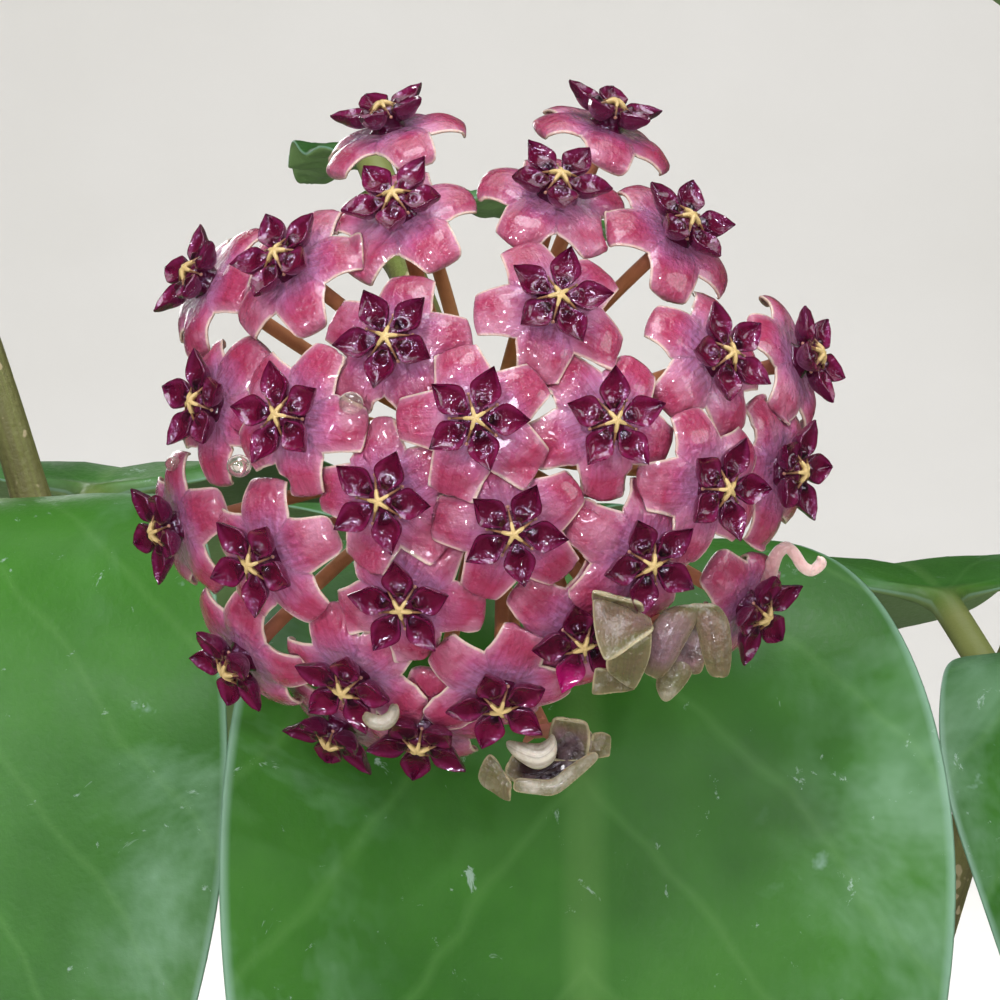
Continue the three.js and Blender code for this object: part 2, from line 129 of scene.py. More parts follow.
# One mesh from several skins, with their marks as a colour attribute that the materials read
def addPiece(name, parts, material, slot, *nodes):
    starts = np.cumsum([0] + [len(part[0]) for part in parts])
    points = np.concatenate([part[0] for part in parts]) * metre
    quads = np.concatenate([part[1] + start for part, start in zip(parts, starts)])
    tris = np.concatenate([part[2] + start for part, start in zip(parts, starts)])
    marks = np.concatenate([part[3] for part in parts])
    corners = np.concatenate([quads.ravel(), tris.ravel()]).astype(np.int32)
    sizes = np.concatenate([np.full(len(quads), 4), np.full(len(tris), 3)])
    mesh = bpy.data.meshes.new(name)
    mesh.vertices.add(len(points))
    mesh.vertices.foreach_set("co", points.ravel().astype(np.float32))
    mesh.loops.add(len(corners))
    mesh.loops.foreach_set("vertex_index", corners)
    mesh.polygons.add(len(sizes))
    mesh.polygons.foreach_set("loop_start", (np.cumsum(sizes) - sizes).astype(np.int32))
    mesh.polygons.foreach_set("use_smooth", np.ones(len(sizes), bool))
    mesh.update(calc_edges=True)
    mesh.validate()
    place = mesh.attributes.new("place", "FLOAT_COLOR", "POINT")
    place.data.foreach_set("color", marks.ravel().astype(np.float32))
    mesh.materials.append(material)
    piece = bpy.data.objects.new(name, mesh)
    bpy.context.scene.collection.objects.link(piece)
    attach(piece, "root")
    if nodes:
        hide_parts(*nodes)
    return piece


# Four marks a point, from single numbers or arrays of the rings' shape
def marksOf(shape, *values):
    return np.stack([np.broadcast_to(value, shape) for value in values], -1)


# Centripetal Catmull-Rom spline through points, sampled finely, with its length at each sample
def splineThrough(points, samples=120):
    points = np.asarray(points, float)
    points = np.concatenate([[2 * points[0] - points[1]], points, [2 * points[-1] - points[-2]]])
    t = np.linspace(0, 1, samples, endpoint=False)[:, None]
    pieces = []
    for p0, p1, p2, p3 in zip(points, points[1:], points[2:], points[3:]):
        d0, d1, d2 = (np.sqrt(np.linalg.norm(b - a)) for a, b in ((p0, p1), (p1, p2), (p2, p3)))
        m1 = ((p1 - p0) / d0 - (p2 - p0) / (d0 + d1) + (p2 - p1) / d1) * d1
        m2 = ((p2 - p1) / d1 - (p3 - p1) / (d1 + d2) + (p3 - p2) / d2) * d1
        pieces.append(p1 + m1 * t + (3 * (p2 - p1) - 2 * m1 - m2) * t**2
                      + (2 * (p1 - p2) + m1 + m2) * t**3)
    path = np.concatenate(pieces + [points[-2:-1]])
    return path, lengthsAlong(path)


# Point and direction at shares of a spline's length
def alongSpline(spline, shares):
    path, lengths = spline
    at = lambda s: rowsAt(s, lengths, path)
    where = np.asarray(shares) * lengths[-1]
    ahead = at(np.clip(where + 0.2, 0, lengths[-1])) - at(np.clip(where - 0.2, 0, lengths[-1]))
    return at(where), unit(ahead)


# Round tube: each ring is centre + radius (cos a side - sin a square), square across the path
def tubeRings(centres, ahead, radii, cols, around=(1.0, 0.0, 0.0)):
    side = unit(np.asarray(around) - ahead * (ahead @ np.asarray(around))[:, None])
    square = np.cross(ahead, side)
    angle = fullTurn(cols)
    radii = np.broadcast_to(np.asarray(radii, float).reshape(len(centres), -1), (len(centres), cols))
    spokes = np.cos(angle)[None, :, None] * side[:, None] - np.sin(angle)[None, :, None] * square[:, None]
    return centres[:, None] + radii[..., None] * spokes


# Small closed pebble with few faces: rings of a unit ball, for repeats
def pebble(rows, cols):
    lean = (np.pi * (np.arange(rows) + 1) / (rows + 1))[:, None]
    return skin((0, 0, 1), turned(np.sin(lean), fullTurn(cols), np.cos(lean)), (0, 0, -1))


# Copies of one small skin: copy n is its points @ turn n x size n, moved to place n
def scattered(part, places, turns, marks):
    points, quads, tris, _ = part
    count, size = len(places), len(points)
    spread = np.einsum("nij,vj->nvi", turns, points) + places[:, None]
    shift = (np.arange(count) * size)[:, None, None]
    return (spread.reshape(-1, 3), (quads + shift).reshape(-1, 4), (tris + shift).reshape(-1, 3),
            np.repeat(marks, size, axis=0))


# Random rotations from unit quaternions, each scaled along its own axes
def randomTurns(scales):
    q = rng.normal(size=(len(scales), 4))
    w, x, y, z = unit(q).T
    turn = np.array([
        [1 - 2 * (y * y + z * z), 2 * (x * y - z * w), 2 * (x * z + y * w)],
        [2 * (x * y + z * w), 1 - 2 * (x * x + z * z), 2 * (y * z - x * w)],
        [2 * (x * z - y * w), 2 * (y * z + x * w), 1 - 2 * (x * x + y * y)],
    ]).transpose(2, 0, 1)
    return turn * scales[:, None, :]


# Material tools

# Linear colour from a hex code
def paint(code):
    value = np.array([int(code[i:i + 2], 16) for i in (0, 2, 4)]) / 255
    linear = np.where(value <= 0.04045, value / 12.92, ((value + 0.055) / 1.055) ** 2.4)
    return (*linear.tolist(), 1.0)


class Finish:
    # A material's nodes, added one call at a time
    def __init__(self, name, **fixed):
        self.material = bpy.data.materials.new(name)
        self.material.use_nodes = True
        self.nodes = self.material.node_tree.nodes
        self.links = self.material.node_tree.links
        self.shader = self.nodes["Principled BSDF"]
        for socket, value in fixed.items():
            self.shader.inputs[socket.replace("_", " ")].default_value = value
        self.coords = self.nodes.new("ShaderNodeTexCoord").outputs["Object"]

    def join(self, source, target):
        if isinstance(source, bpy.types.NodeSocket):
            self.links.new(source, target)
        else:
            target.default_value = source

    def place(self):
        read = self.nodes.new("ShaderNodeAttribute")
        read.attribute_name = "place"
        split = self.nodes.new("ShaderNodeSeparateColor")
        self.links.new(read.outputs["Color"], split.inputs["Color"])
        return split.outputs["Red"], split.outputs["Green"], split.outputs["Blue"], read.outputs["Alpha"]

    def math(self, kind, a, b=0.5, c=0.0):
        step = self.nodes.new("ShaderNodeMath")
        step.operation = kind
        for value, target in zip((a, b, c), step.inputs):
            self.join(value, target)
        return step.outputs[0]

    def times(self, a, b):
        return self.math("MULTIPLY", a, b)

    def plus(self, a, b):
        return self.math("ADD", a, b)

    def minus(self, a, b):
        return self.math("SUBTRACT", a, b)

    def noise(self, scale, detail=3.0, rough=0.55, vector=None, distortion=0.0):
        made = self.nodes.new("ShaderNodeTexNoise")
        self.links.new(self.coords if vector is None else vector, made.inputs["Vector"])
        given = {"Scale": scale, "Detail": detail, "Roughness": rough, "Distortion": distortion}
        for socket, value in given.items():
            made.inputs[socket].default_value = value
        return made.outputs["Fac"]

    def vector(self, x, y, z):
        made = self.nodes.new("ShaderNodeCombineXYZ")
        for value, target in zip((x, y, z), made.inputs):
            self.join(value, target)
        return made.outputs[0]

    def ramp(self, source, *stops):
        made = self.nodes.new("ShaderNodeValToRGB")
        colours = made.color_ramp
        while len(colours.elements) < len(stops):
            colours.elements.new(0.5)
        for element, (position, colour) in zip(colours.elements, stops):
            element.position = position
            element.color = paint(colour) if isinstance(colour, str) else (colour, colour, colour, 1)
        self.links.new(source, made.inputs["Fac"])
        return made.outputs["Color"]

    def mix(self, factor, a, b, blend="MIX"):
        made = self.nodes.new("ShaderNodeMix")
        made.data_type = "RGBA"
        made.blend_type = blend
        self.join(factor, made.inputs["Factor"])
        for value, name in ((a, "A"), (b, "B")):
            target = next(t for t in made.inputs if t.name == name and t.type == "RGBA")
            self.join(paint(value) if isinstance(value, str) else value, target)
        return next(out for out in made.outputs if out.type == "RGBA")

    def spread(self, value, low, high, toLow, toHigh):
        made = self.nodes.new("ShaderNodeMapRange")
        for given, target in zip((value, low, high, toLow, toHigh), made.inputs):
            self.join(given, target)
        return made.outputs["Result"]

    # A base made darker by a grain, in a share
    def speckled(self, share, base, grain, *stops):
        return self.mix(share, base, self.ramp(grain, *stops), "MULTIPLY")

    def colour(self, source):
        self.links.new(source, self.shader.inputs["Base Color"])

    # Roughness from low to high over the middle values of a grain
    def roughness(self, grain, low, high):
        self.links.new(self.spread(grain, 0.3, 0.7, low, high), self.shader.inputs["Roughness"])

    def bump(self, height, distance, strength=1.0):
        made = self.nodes.new("ShaderNodeBump")
        made.inputs["Strength"].default_value = strength
        made.inputs["Distance"].default_value = distance * metre
        self.links.new(height, made.inputs["Height"])
        self.links.new(made.outputs["Normal"], self.shader.inputs["Normal"])


# Pot: a turned wall, as the rounded profile carried round the axis

pot = {
    "rimRadius": 74, "neckRadius": 67, "footRadius": 50, "height": 128, "rimDepth": 27, "wall": 6,
    "floor": 9, "chamfer": 1.5, "drainHoles": 3, "drainRadius": 5, "drainCircle": 26,
    "rows": 120, "cols": 144, "turningMark": 0.12,
    "step": 0.2, "softened": 15,
}


# The profile's corners, each rounded by a short blend over even steps, with more rows near a corner
def potProfile():
    rim, neck, foot, height = pot["rimRadius"], pot["neckRadius"], pot["footRadius"], pot["height"]
    wall, chamfer, under = pot["wall"], pot["chamfer"], pot["height"] - pot["rimDepth"]
    corners = np.array([
        (0.5, 0), (foot - chamfer, 0), (foot, chamfer), (neck, under), (rim - 2 * chamfer, under),
        (rim, height - chamfer), (rim - chamfer, height), (rim - wall + chamfer, height),
        (rim - wall, height - chamfer), (neck - wall, under - wall), (foot - wall + 1, pot["floor"]),
        (0.5, pot["floor"]),
    ], float)
    lengths = lengthsAlong(corners)
    fine = np.arange(0, lengths[-1], pot["step"])
    line = rowsAt(fine, lengths, corners)
    soft = np.hanning(pot["softened"])
    soft /= soft.sum()
    edge = pot["softened"] // 2
    rounded = line.copy()
    rounded[edge:-edge] = np.stack([np.convolve(line[:, i], soft, "valid") for i in (0, 1)], -1)
    share = np.linspace(0, 1, pot["rows"])
    nearCorner = np.min(np.abs(share[:, None] * lengths[-1] - lengths[None, 1:-1]), axis=1)
    weight = np.cumsum(1 / (1.5 + np.minimum(nearCorner, 14)))
    pick = (weight - weight[0]) / (weight[-1] - weight[0]) * (len(fine) - 1)
    return rowsAt(pick, np.arange(len(fine)), rounded)


# Red clay with specks, and chalky salts low on the wall and at the rim
def clayFinish():
    clay = Finish("potClay", Specular_IOR_Level=0.25)
    broad, fine = clay.noise(22, 4), clay.noise(420, 3, 0.7)
    red = clay.ramp(broad, (0.3, "a4573a"), (0.5, "b96a47"), (0.72, "c67f5b"))
    body = clay.speckled(0.55, red, fine, (0.36, 0.62), (0.52, 1.0))
    height = clay.nodes.new("ShaderNodeSeparateXYZ")
    clay.links.new(clay.coords, height.inputs[0])
    high = clay.plus(height.outputs["Z"], clay.times(clay.noise(34, 5), 0.06))
    salts = clay.ramp(high, (0.03, 0.0), (0.06, 0.55), (0.085, 0.12), (0.13, 0.04), (0.15, 0.35))
    chalk = clay.times(salts, clay.ramp(clay.noise(90, 5, 0.65), (0.42, 0.0), (0.62, 1.0)))
    clay.colour(clay.mix(chalk, body, "d9c3ae"))
    clay.roughness(fine, 0.78, 0.95)
    clay.bump(clay.plus(fine, clay.times(broad, 0.5)), 0.35)
    return clay.material


def makePot():
    profile = potProfile()
    angle = fullTurn(pot["cols"])
    r, z = profile[:, :1], profile[:, 1:]
    outer = smooth((r - pot["footRadius"]) / 4) * smooth(z / 6)
    mark = pot["turningMark"] * np.sin(z * 1.9 + 0.7 * np.sin(0.5 * z) + 0.6 * np.cos(angle)) * outer
    rings = turned(r + mark, angle, z)[:, ::-1]
    clay = clayFinish()
    piece = addPiece("pot_wall", [skin((0, 0, 0), rings, (0, 0, pot["floor"]))], clay, "pot", "pot")
    drills = []
    for at in 2 * np.pi * (np.arange(pot["drainHoles"]) + 0.5) / pot["drainHoles"]:
        ring = turned(pot["drainCircle"], at, 0.0) + turned(pot["drainRadius"], fullTurn(40), 0.0)
        shaft = np.stack([ring + (0, 0, 2 * pot["floor"]), ring - (0, 0, pot["floor"])])
        drills.append(skin(shaft[0].mean(0), shaft, shaft[1].mean(0)))
    drill = addPiece("drain_drill", drills, clay, "pot")
    cut = piece.modifiers.new("drain_holes", "BOOLEAN")
    cut.object, cut.operation, cut.solver = drill, "DIFFERENCE", "EXACT"
    done = bpy.data.meshes.new_from_object(piece.evaluated_get(bpy.context.evaluated_depsgraph_get()))
    piece.modifiers.clear()
    piece.data = done
    bpy.data.objects.remove(drill)
    print("pot made")


# Potting mix: a lumpy bed, with bark chips and white grit lying on it

mix = {
    "level": 113, "roughness": 2.4, "gap": 0.3, "rings": 70, "cols": 150, "chips": 420, "grit": 230,
    "chipSize": (2.2, 5.2), "gritSize": (0.8, 1.7),
    "chipFlat": 0.55, "chipSink": 0.6, "gritSink": 0.4, "fade": 5,
}


# Inner radius of the pot's wall at a height: straight between floor, shoulder and rim
def innerRadius(z):
    shoulder = pot["height"] - pot["rimDepth"] - pot["wall"]
    return np.interp(z, [pot["floor"], shoulder, pot["height"]],
                     [pot["footRadius"] - pot["wall"] + 1, pot["neckRadius"] - pot["wall"],
                      pot["rimRadius"] - pot["wall"]])


# Height of the bed: the broad lumps, and crumbs as a sum of short waves in turned directions
def mixHeight(x, y):
    broad = np.sin(0.21 * x + 1.3) * np.cos(0.17 * y) + np.sin(0.34 * y + 0.11 * x)
    crumbs = 0.0
    for k in range(9):
        lean = 2.4 * k
        pitch = 0.8 + 0.23 * k
        crumbs = crumbs + np.sin(pitch * (x * np.cos(lean) + y * np.sin(lean)) + 1.7 * k
                         + 1.4 * np.sin(0.31 * y + k)) / (1 + 0.35 * k)
    return mix["roughness"] * 0.5 * broad + 0.28 * crumbs


bedEdge = innerRadius(mix["level"]) - mix["gap"]


# Surface of the bed: its level and lumps, which fade out towards the pot
def bedHeight(x, y, r):
    return mix["level"] + mixHeight(x, y) * smooth((bedEdge - r) / mix["fade"])


# Random places on the bed, evenly over its area, a little above or below its surface
def onBed(count, sink):
    reach = (bedEdge - 4) * np.sqrt(rng.uniform(0.004, 1, count))
    around = rng.uniform(0, 2 * np.pi, count)
    x, y = reach * np.cos(around), reach * np.sin(around)
    return np.stack([x, y, bedHeight(x, y, reach) + sink], -1)


def soilFinish():
    soil = Finish("pottingMix", Specular_IOR_Level=0.2)
    grain = soil.noise(900, 4, 0.7)
    crumbs = soil.ramp(soil.noise(160, 5, 0.7), (0.3, "20150d"), (0.55, "3d2b1c"), (0.75, "5c4530"))
    soil.colour(soil.speckled(0.7, crumbs, grain, (0.3, 0.45), (0.6, 1.0)))
    soil.roughness(grain, 0.8, 1.0)
    soil.bump(grain, 0.8)
    return soil.material


def chipFinish():
    bark = Finish("barkChips", Specular_IOR_Level=0.3)
    tone, _, _, _ = bark.place()
    fibres = bark.noise(700, 4, 0.7)
    brown = bark.ramp(tone, (0.0, "3a2416"), (0.5, "6e482b"), (1.0, "9a7048"))
    bark.colour(bark.speckled(0.6, brown, fibres, (0.35, 0.5), (0.6, 1.0)))
    bark.roughness(fibres, 0.6, 0.9)
    bark.bump(fibres, 0.5)
    return bark.material


def gritFinish():
    grit = Finish("whiteGrit", Specular_IOR_Level=0.3)
    grit.colour(grit.ramp(grit.noise(600, 3), (0.35, "b9b3a6"), (0.6, "e9e6dd")))
    grit.roughness(grit.noise(1500, 2), 0.7, 0.95)
    grit.bump(grit.noise(1800, 3), 0.3)
    return grit.material


def makeMix():
    r = (np.linspace(0, 1, mix["rings"] + 1)[1:] ** 0.9 * bedEdge)[:, None]
    angle = fullTurn(mix["cols"])
    x, y = r * np.cos(angle), r * np.sin(angle)
    top = np.stack([x, y, bedHeight(x, y, r)], -1)
    depths = np.array([mix["level"] - 3, 94, 60, 30, pot["floor"] + mix["gap"]])
    wall = turned((innerRadius(depths) - mix["gap"])[:, None], angle, depths[:, None])
    bed = skin((0, 0, mix["level"] + mixHeight(0.0, 0.0)), np.concatenate([top, wall]), (0, 0, depths[-1]))
    addPiece("mix_bed", [bed], soilFinish(), "potting_mix", "potting_mix")
    print("potting mix made")


# Bark chips and white grit, each a small pebble copied over the bed
def makeLitter():
    count = mix["chips"]
    length = rng.uniform(*mix["chipSize"], count)
    scales = np.stack([length, length * rng.uniform(0.4, 0.8, count),
                       length * rng.uniform(0.16, 0.3, count)], -1)
    turns = randomTurns(scales) * np.array([1, 1, mix["chipFlat"]])[None, :, None]
    marks = np.stack([rng.uniform(0, 1, count)] * 4, -1)
    chips = scattered(pebble(2, 5), onBed(count, mix["chipSink"]), turns, marks)
    addPiece("bark_chips", [chips], chipFinish(), "potting_mix")
    count = mix["grit"]
    size = rng.uniform(*mix["gritSize"], count)
    scales = np.stack([size, size * rng.uniform(0.7, 1, count), size * rng.uniform(0.6, 1, count)], -1)
    places, turns = onBed(count, mix["gritSink"]), randomTurns(scales)
    grains = scattered(pebble(3, 6), places, turns, np.zeros((count, 4)))
    addPiece("white_grit", [grains], gritFinish(), "potting_mix")
    print("chips and grit laid")


# Stems: tubes along splines, swollen at the leaf nodes

stem = {"rootRadius": 2.9, "tipRadius": 2.0, "nodeSwell": 0.8, "nodeLength": 7, "scar": 0.16,
        "scarLength": 0.7, "ribs": 0.05, "twist": 0.05, "rings": 240, "cols": 20}
stemPaths = [
    [(4, -4, 90), (6, -8, 140), (5, -22, 220), (0, -38, 292), (-8, -28, 318), (-14, -10, 330)],
    [(-14, 8, 90), (-22, 6, 140), (-38, -6, 215), (-50, -24, 284), (-66, -26, 332), (-86, -14, 362)],
    [(14, 10, 90), (24, 14, 140), (44, 20, 200), (62, 12, 262), (76, 4, 312), (84, 6, 342)],
]
stemSplines = [splineThrough(path) for path in stemPaths]

# Each leaf: stem, place along it, heading (degrees from -Y towards +X), pitch at the root, pitch of the
# hanging blade, roll, petiole length, blade length and width
leaves = [
    (0, 0.757, 8.5, 18, -86, 0, 30, 142, 76), (0, 0.757, -167, 30, -30, 0, 18, 104, 56),
    (0, 0.49, 56, 24, -34, 4, 18, 112, 62), (0, 0.49, -56, 22, -44, -4, 18, 92, 54),
    (0, 0.23, 16, 34, -30, 0, 18, 104, 58), (0, 0.23, -164, 34, -26, 0, 18, 100, 56),
    (0, 0.98, 136, 24, -8, 0, 6, 30, 14), (0, 0.98, -162, 38, -4, 0, 6, 28, 14),
    (1, 0.70, -9, 24, -84, 0, 22, 126, 63), (1, 0.70, 171, 30, -20, 0, 18, 104, 56),
    (1, 0.40, -102, 24, -34, -6, 18, 110, 60), (1, 0.40, 150, 40, -4, 0, 18, 100, 56),
    (1, 0.98, -110, 44, 4, 0, 15, 92, 48), (1, 0.98, 60, 66, 30, 0, 14, 80, 42),
    (2, 0.72, 20, 20, -60, 6, 18, 112, 60), (2, 0.72, -160, 34, -16, 0, 18, 104, 56),
    (2, 0.40, 124, 26, -30, 4, 18, 112, 62), (2, 0.40, -160, 30, -40, 0, 18, 104, 56),
    (2, 0.98, 100, 44, -10, 0, 15, 94, 50), (2, 0.98, -60, 66, 30, 0, 14, 80, 42),
]


# Stem radius: even taper from root to tip, plus a bell at each leaf node
def stemRadius(s, share):
    length = stemSplines[s][1][-1]
    places = {leaf[1] for leaf in leaves if leaf[0] == s}
    bells = [np.exp(-((np.asarray(share) - place) * length / stem["nodeLength"]) ** 2) for place in places]
    taper = stem["rootRadius"] + (stem["tipRadius"] - stem["rootRadius"]) * np.asarray(share)
    return taper + stem["nodeSwell"] * np.max(bells, axis=0)


# Bark: green at the young end and brown at the old one, streaked, with pale lenticels
def stemFinish():
    bark = Finish("stemBark", Specular_IOR_Level=0.4)
    along, around, _, _ = bark.place()
    grain = bark.noise(1.0, 4, 0.6, bark.vector(bark.times(along, 4), around, 0.0))
    fine = bark.noise(900, 3, 0.6)
    young = bark.ramp(along, (0.0, "7a6a4a"), (0.5, "77713f"), (1.0, "6f7f3c"))
    body = bark.mix(bark.ramp(grain, (0.35, 0.0), (0.65, 1.0)), young, "57502f")
    lenticels = bark.ramp(bark.noise(520, 1, 0.4), (0.66, 0.0), (0.7, 1.0))
    bark.colour(bark.mix(bark.times(lenticels, 0.7), body, "b8a983"))
    bark.roughness(fine, 0.42, 0.65)
    bark.bump(bark.plus(fine, grain), 0.25)
    return bark.material


def makeStems():
    bark = stemFinish()
    for s, spline in enumerate(stemSplines):
        shares = np.linspace(0, 1, stem["rings"])
        centres, ahead = alongSpline(spline, shares)
        angle = fullTurn(stem["cols"])
        length = spline[1][-1]
        ribs = stem["ribs"] * np.sin(5 * angle + stem["twist"] * length * shares[:, None])
        scar = sum(stem["scar"] * np.exp(-((shares - leaf[1]) * length / stem["scarLength"]) ** 2)
                   for leaf in leaves if leaf[0] == s)
        radii = stemRadius(s, shares)[:, None] + ribs + 0.5 * scar[:, None]
        rings = tubeRings(centres, ahead, radii, stem["cols"])
        marks = marksOf(rings.shape[:2], shares[:, None], 3 * np.abs(np.sin(angle / 2)), 0.0, 1.0)
        tip = centres[-1] + ahead[-1] * 1.5
        part = skin(centres[0], rings, tip, marks)
        addPiece(f"stem_{s + 1}_bark", [part], bark, "stem", f"stem_{s + 1}")
    print("stems made")


# Leaves: a thick cupped blade on its petiole, as cross-sections carried along a drooping spine

blade = {
    "petioleRadius": 2.0, "thick": 1.7, "ribShare": 0.35, "tip": 0.985, "rows": 76, "cols": 48,
    "ribGroove": 0.35, "ribWidth": 1.5, "quilt": 0.16, "veins": 7, "veinSlope": 2.1,
    "cup": 0.0016, "fold": 0.05, "wave": 1.1, "waves": 17,
}


# Half width at a share of the blade: round base, widest before the middle, drawn-out point
def leafOutline(u):
    u = np.clip(u, 1e-6, 1)
    return np.sin(np.pi * u**0.72) ** 0.54 * (1 - 0.29 * u) * 1.1


# Direction of a heading h and a pitch p: (sin h cos p, -cos h cos p, sin p)
def headingVector(heading, pitch):
    h, p = np.radians(heading), np.radians(pitch)
    return np.stack(np.broadcast_arrays(np.sin(h) * np.cos(p), -np.cos(h) * np.cos(p), np.sin(p)), -1)


# One leaf: the spine's pitch blends from root to blade, and a round stalk blends into the cupped blade
def makeLeaf(number, leaf, material):
    s, place, heading, rootPitch, bladePitch, roll, petiole, length, width = leaf
    at, tangent = alongSpline(stemSplines[s], [place])
    out = headingVector(heading, rootPitch)
    slant = out @ tangent[0]
    square = out - slant * tangent[0]
    square /= np.linalg.norm(square)
    seat = stemRadius(s, [place])[0] + mix["gap"] + blade["petioleRadius"] * abs(slant)
    start = at[0] + seat * square
    total = petiole + length * (blade["tip"] + 0.012)
    fine = np.linspace(0, total, 800)
    share = smooth((fine - 0.6 * petiole) / (0.4 * petiole + 0.27 * length))
    course = headingVector(heading, rootPitch + (bladePitch - rootPitch) * share)
    step = (course[1:] + course[:-1]) / 2 * (fine[1] - fine[0])
    path = start + np.concatenate([np.zeros((1, 3)), np.cumsum(step, axis=0)])
    u = 1 - np.cos(np.linspace(0.16, np.pi / 2, blade["rows"] - 14)) * 0.98
    u = np.concatenate([np.linspace(0.004, u[0], 4)[:-1], u[:-1], [blade["tip"]]])
    stations = np.concatenate([np.linspace(0, petiole * 0.94, 11), petiole + u * length])
    centre, ahead = rowsAt(stations, fine, path), rowsAt(stations, fine, course)
    h = np.radians(heading)
    level = np.array([np.cos(h), np.sin(h), 0.0])
    r = np.radians(roll)
    side = level * np.cos(r) + np.cross(ahead, level) * np.sin(r)
    up = np.cross(ahead, side)
    share = ((stations - petiole) / length)[:, None]
    isBlade = smooth((stations - 0.9 * petiole) / (0.1 * petiole + 0.03 * length))[:, None]
    half = np.maximum(blade["petioleRadius"] * (1 - 0.5 * smooth((share - 0.9) / 0.08)),
                      leafOutline(share) * width / 2 * (share > 0))
    angle = fullTurn(blade["cols"])
    x = np.sign(np.cos(angle)) * np.abs(np.cos(angle)) ** 0.8
    upper = np.sin(angle) >= 0
    across = x * half
    edge = shoulders(x, 2.6)
    rib = np.exp(-(across / blade["ribWidth"]) ** 2) * (1 - 0.7 * share)
    lift = blade["thick"] / 2 * edge - blade["ribGroove"] * rib
    drop = -blade["thick"] / 2 * edge - blade["ribShare"] * blade["thick"] * 1.5 * rib
    veinAt = blade["veins"] * share - blade["veinSlope"] * np.abs(x) * half / (width / 2)
    quilt = blade["quilt"] * np.cos(2 * np.pi * veinAt)
    quilt = quilt * smooth((1 - np.abs(x)) / 0.4) * smooth(np.abs(x) / 0.15)
    height = np.where(upper, lift, drop) - quilt
    tube = blade["petioleRadius"] * np.sin(angle)
    cup = blade["cup"] * across**2 + blade["fold"] * np.abs(across)
    wave = blade["wave"] * np.sin(blade["waves"] * share + heading) * x**2 * smooth(share / 0.2)
    height = isBlade * (height + cup + wave) + (1 - isBlade) * tube
    across = isBlade * across + (1 - isBlade) * blade["petioleRadius"] * np.cos(angle)
    rings = centre[:, None] + across[..., None] * side[:, None] + height[..., None] * up[:, None]
    tone = rng.uniform(0, 1)
    marks = marksOf(rings.shape[:2], np.clip(share, -0.3, 1), np.abs(x), upper * 1.0, tone)
    part = skin(path[0], rings, path[-1], marks)
    addPiece(f"leaf_{number:02d}_blade", [part], material, "leaf", f"leaf_{number:02d}")


def leafFinish():
    leaf = Finish("waxyLeaf", Coat_Weight=0.08, Coat_Roughness=0.25, Specular_IOR_Level=0.25)
    along, across, upper, tone = leaf.place()
    broad = leaf.noise(26, 4, 0.6)
    grain = leaf.noise(1400, 3, 0.6)
    wax = leaf.noise(36, 5, 0.65, None, 0.3)
    green = leaf.ramp(leaf.plus(leaf.times(broad, 0.7), leaf.times(tone, 0.3)),
                      (0.3, "183f0c"), (0.5, "265b13"), (0.72, "3c7522"))
    rib = leaf.ramp(across, (0.0, 1.0), (0.035, 0.75), (0.075, 0.0))
    veinShift = leaf.minus(leaf.times(along, blade["veins"]), leaf.times(across, blade["veinSlope"]))
    wobble = leaf.plus(veinShift, leaf.times(leaf.noise(60, 2), 0.5))
    veins = leaf.ramp(leaf.math("PINGPONG", wobble, 0.5), (0.0, 0.55), (0.07, 0.0))
    lined = leaf.mix(leaf.times(veins, 0.4), green, "5c8c45")
    lined = leaf.mix(leaf.times(rib, 0.25), lined, "6f9a50")
    # Towards the margins, pale bluish waxy bloom and silver splashes: partly the leaf's own splash, partly
    # a painted sheen
    sides = leaf.ramp(across, (0.45, 0.0), (0.8, 1.0))
    bloom = leaf.times(leaf.ramp(wax, (0.48, 0.0), (0.7, 0.6)), sides)
    waxAndSheen = leaf.mix(bloom, lined, "86ad8c")
    flecks = leaf.ramp(leaf.noise(240, 5, 0.75, None, 0.6), (0.64, 0.0), (0.7, 1.0))
    flecked = leaf.mix(leaf.times(flecks, 0.45), waxAndSheen, "b9cfc4")
    splashAndSheen = leaf.times(leaf.ramp(leaf.noise(85, 5, 0.6), (0.64, 0.0), (0.7, 0.6)), sides)
    flecked = leaf.mix(splashAndSheen, flecked, "9cbcae")
    # A pale bluish rim along the margin: a painted highlight on the thick leaf edge
    edged = leaf.mix(leaf.ramp(across, (0.97, 0.0), (0.992, 0.7)), flecked, "7fa48a")
    under = leaf.mix(leaf.times(broad, 0.6), "7f9c63", "5f8449")
    stalk = leaf.ramp(leaf.spread(along, -0.06, 0.02, 0.0, 1.0), (0.0, 1.0), (1.0, 0.0))
    faced = leaf.mix(upper, under, edged)
    leaf.colour(leaf.mix(stalk, faced, "7a8248"))
    leaf.roughness(grain, 0.38, 0.55)
    leaf.bump(leaf.plus(leaf.times(grain, 0.3), leaf.times(broad, 1.0)), 0.2)
    return leaf.material


# Umbel: where each bloom stands and how it is turned

umbel = {"apex": (0.0, -100.0, 300.0), "knobRadius": 3.8, "stalkRadius": 1.9, "pedicelRadius": 0.72,
         "pedicelBow": 0.9, "stalkHeading": -50}
viewer = {"distance": 460, "right": 1.5, "below": 5, "sensor": 36, "zoom": 4.6}
apex = np.array(umbel["apex"])
eye = apex + (viewer["right"], -viewer["distance"], -viewer["below"])

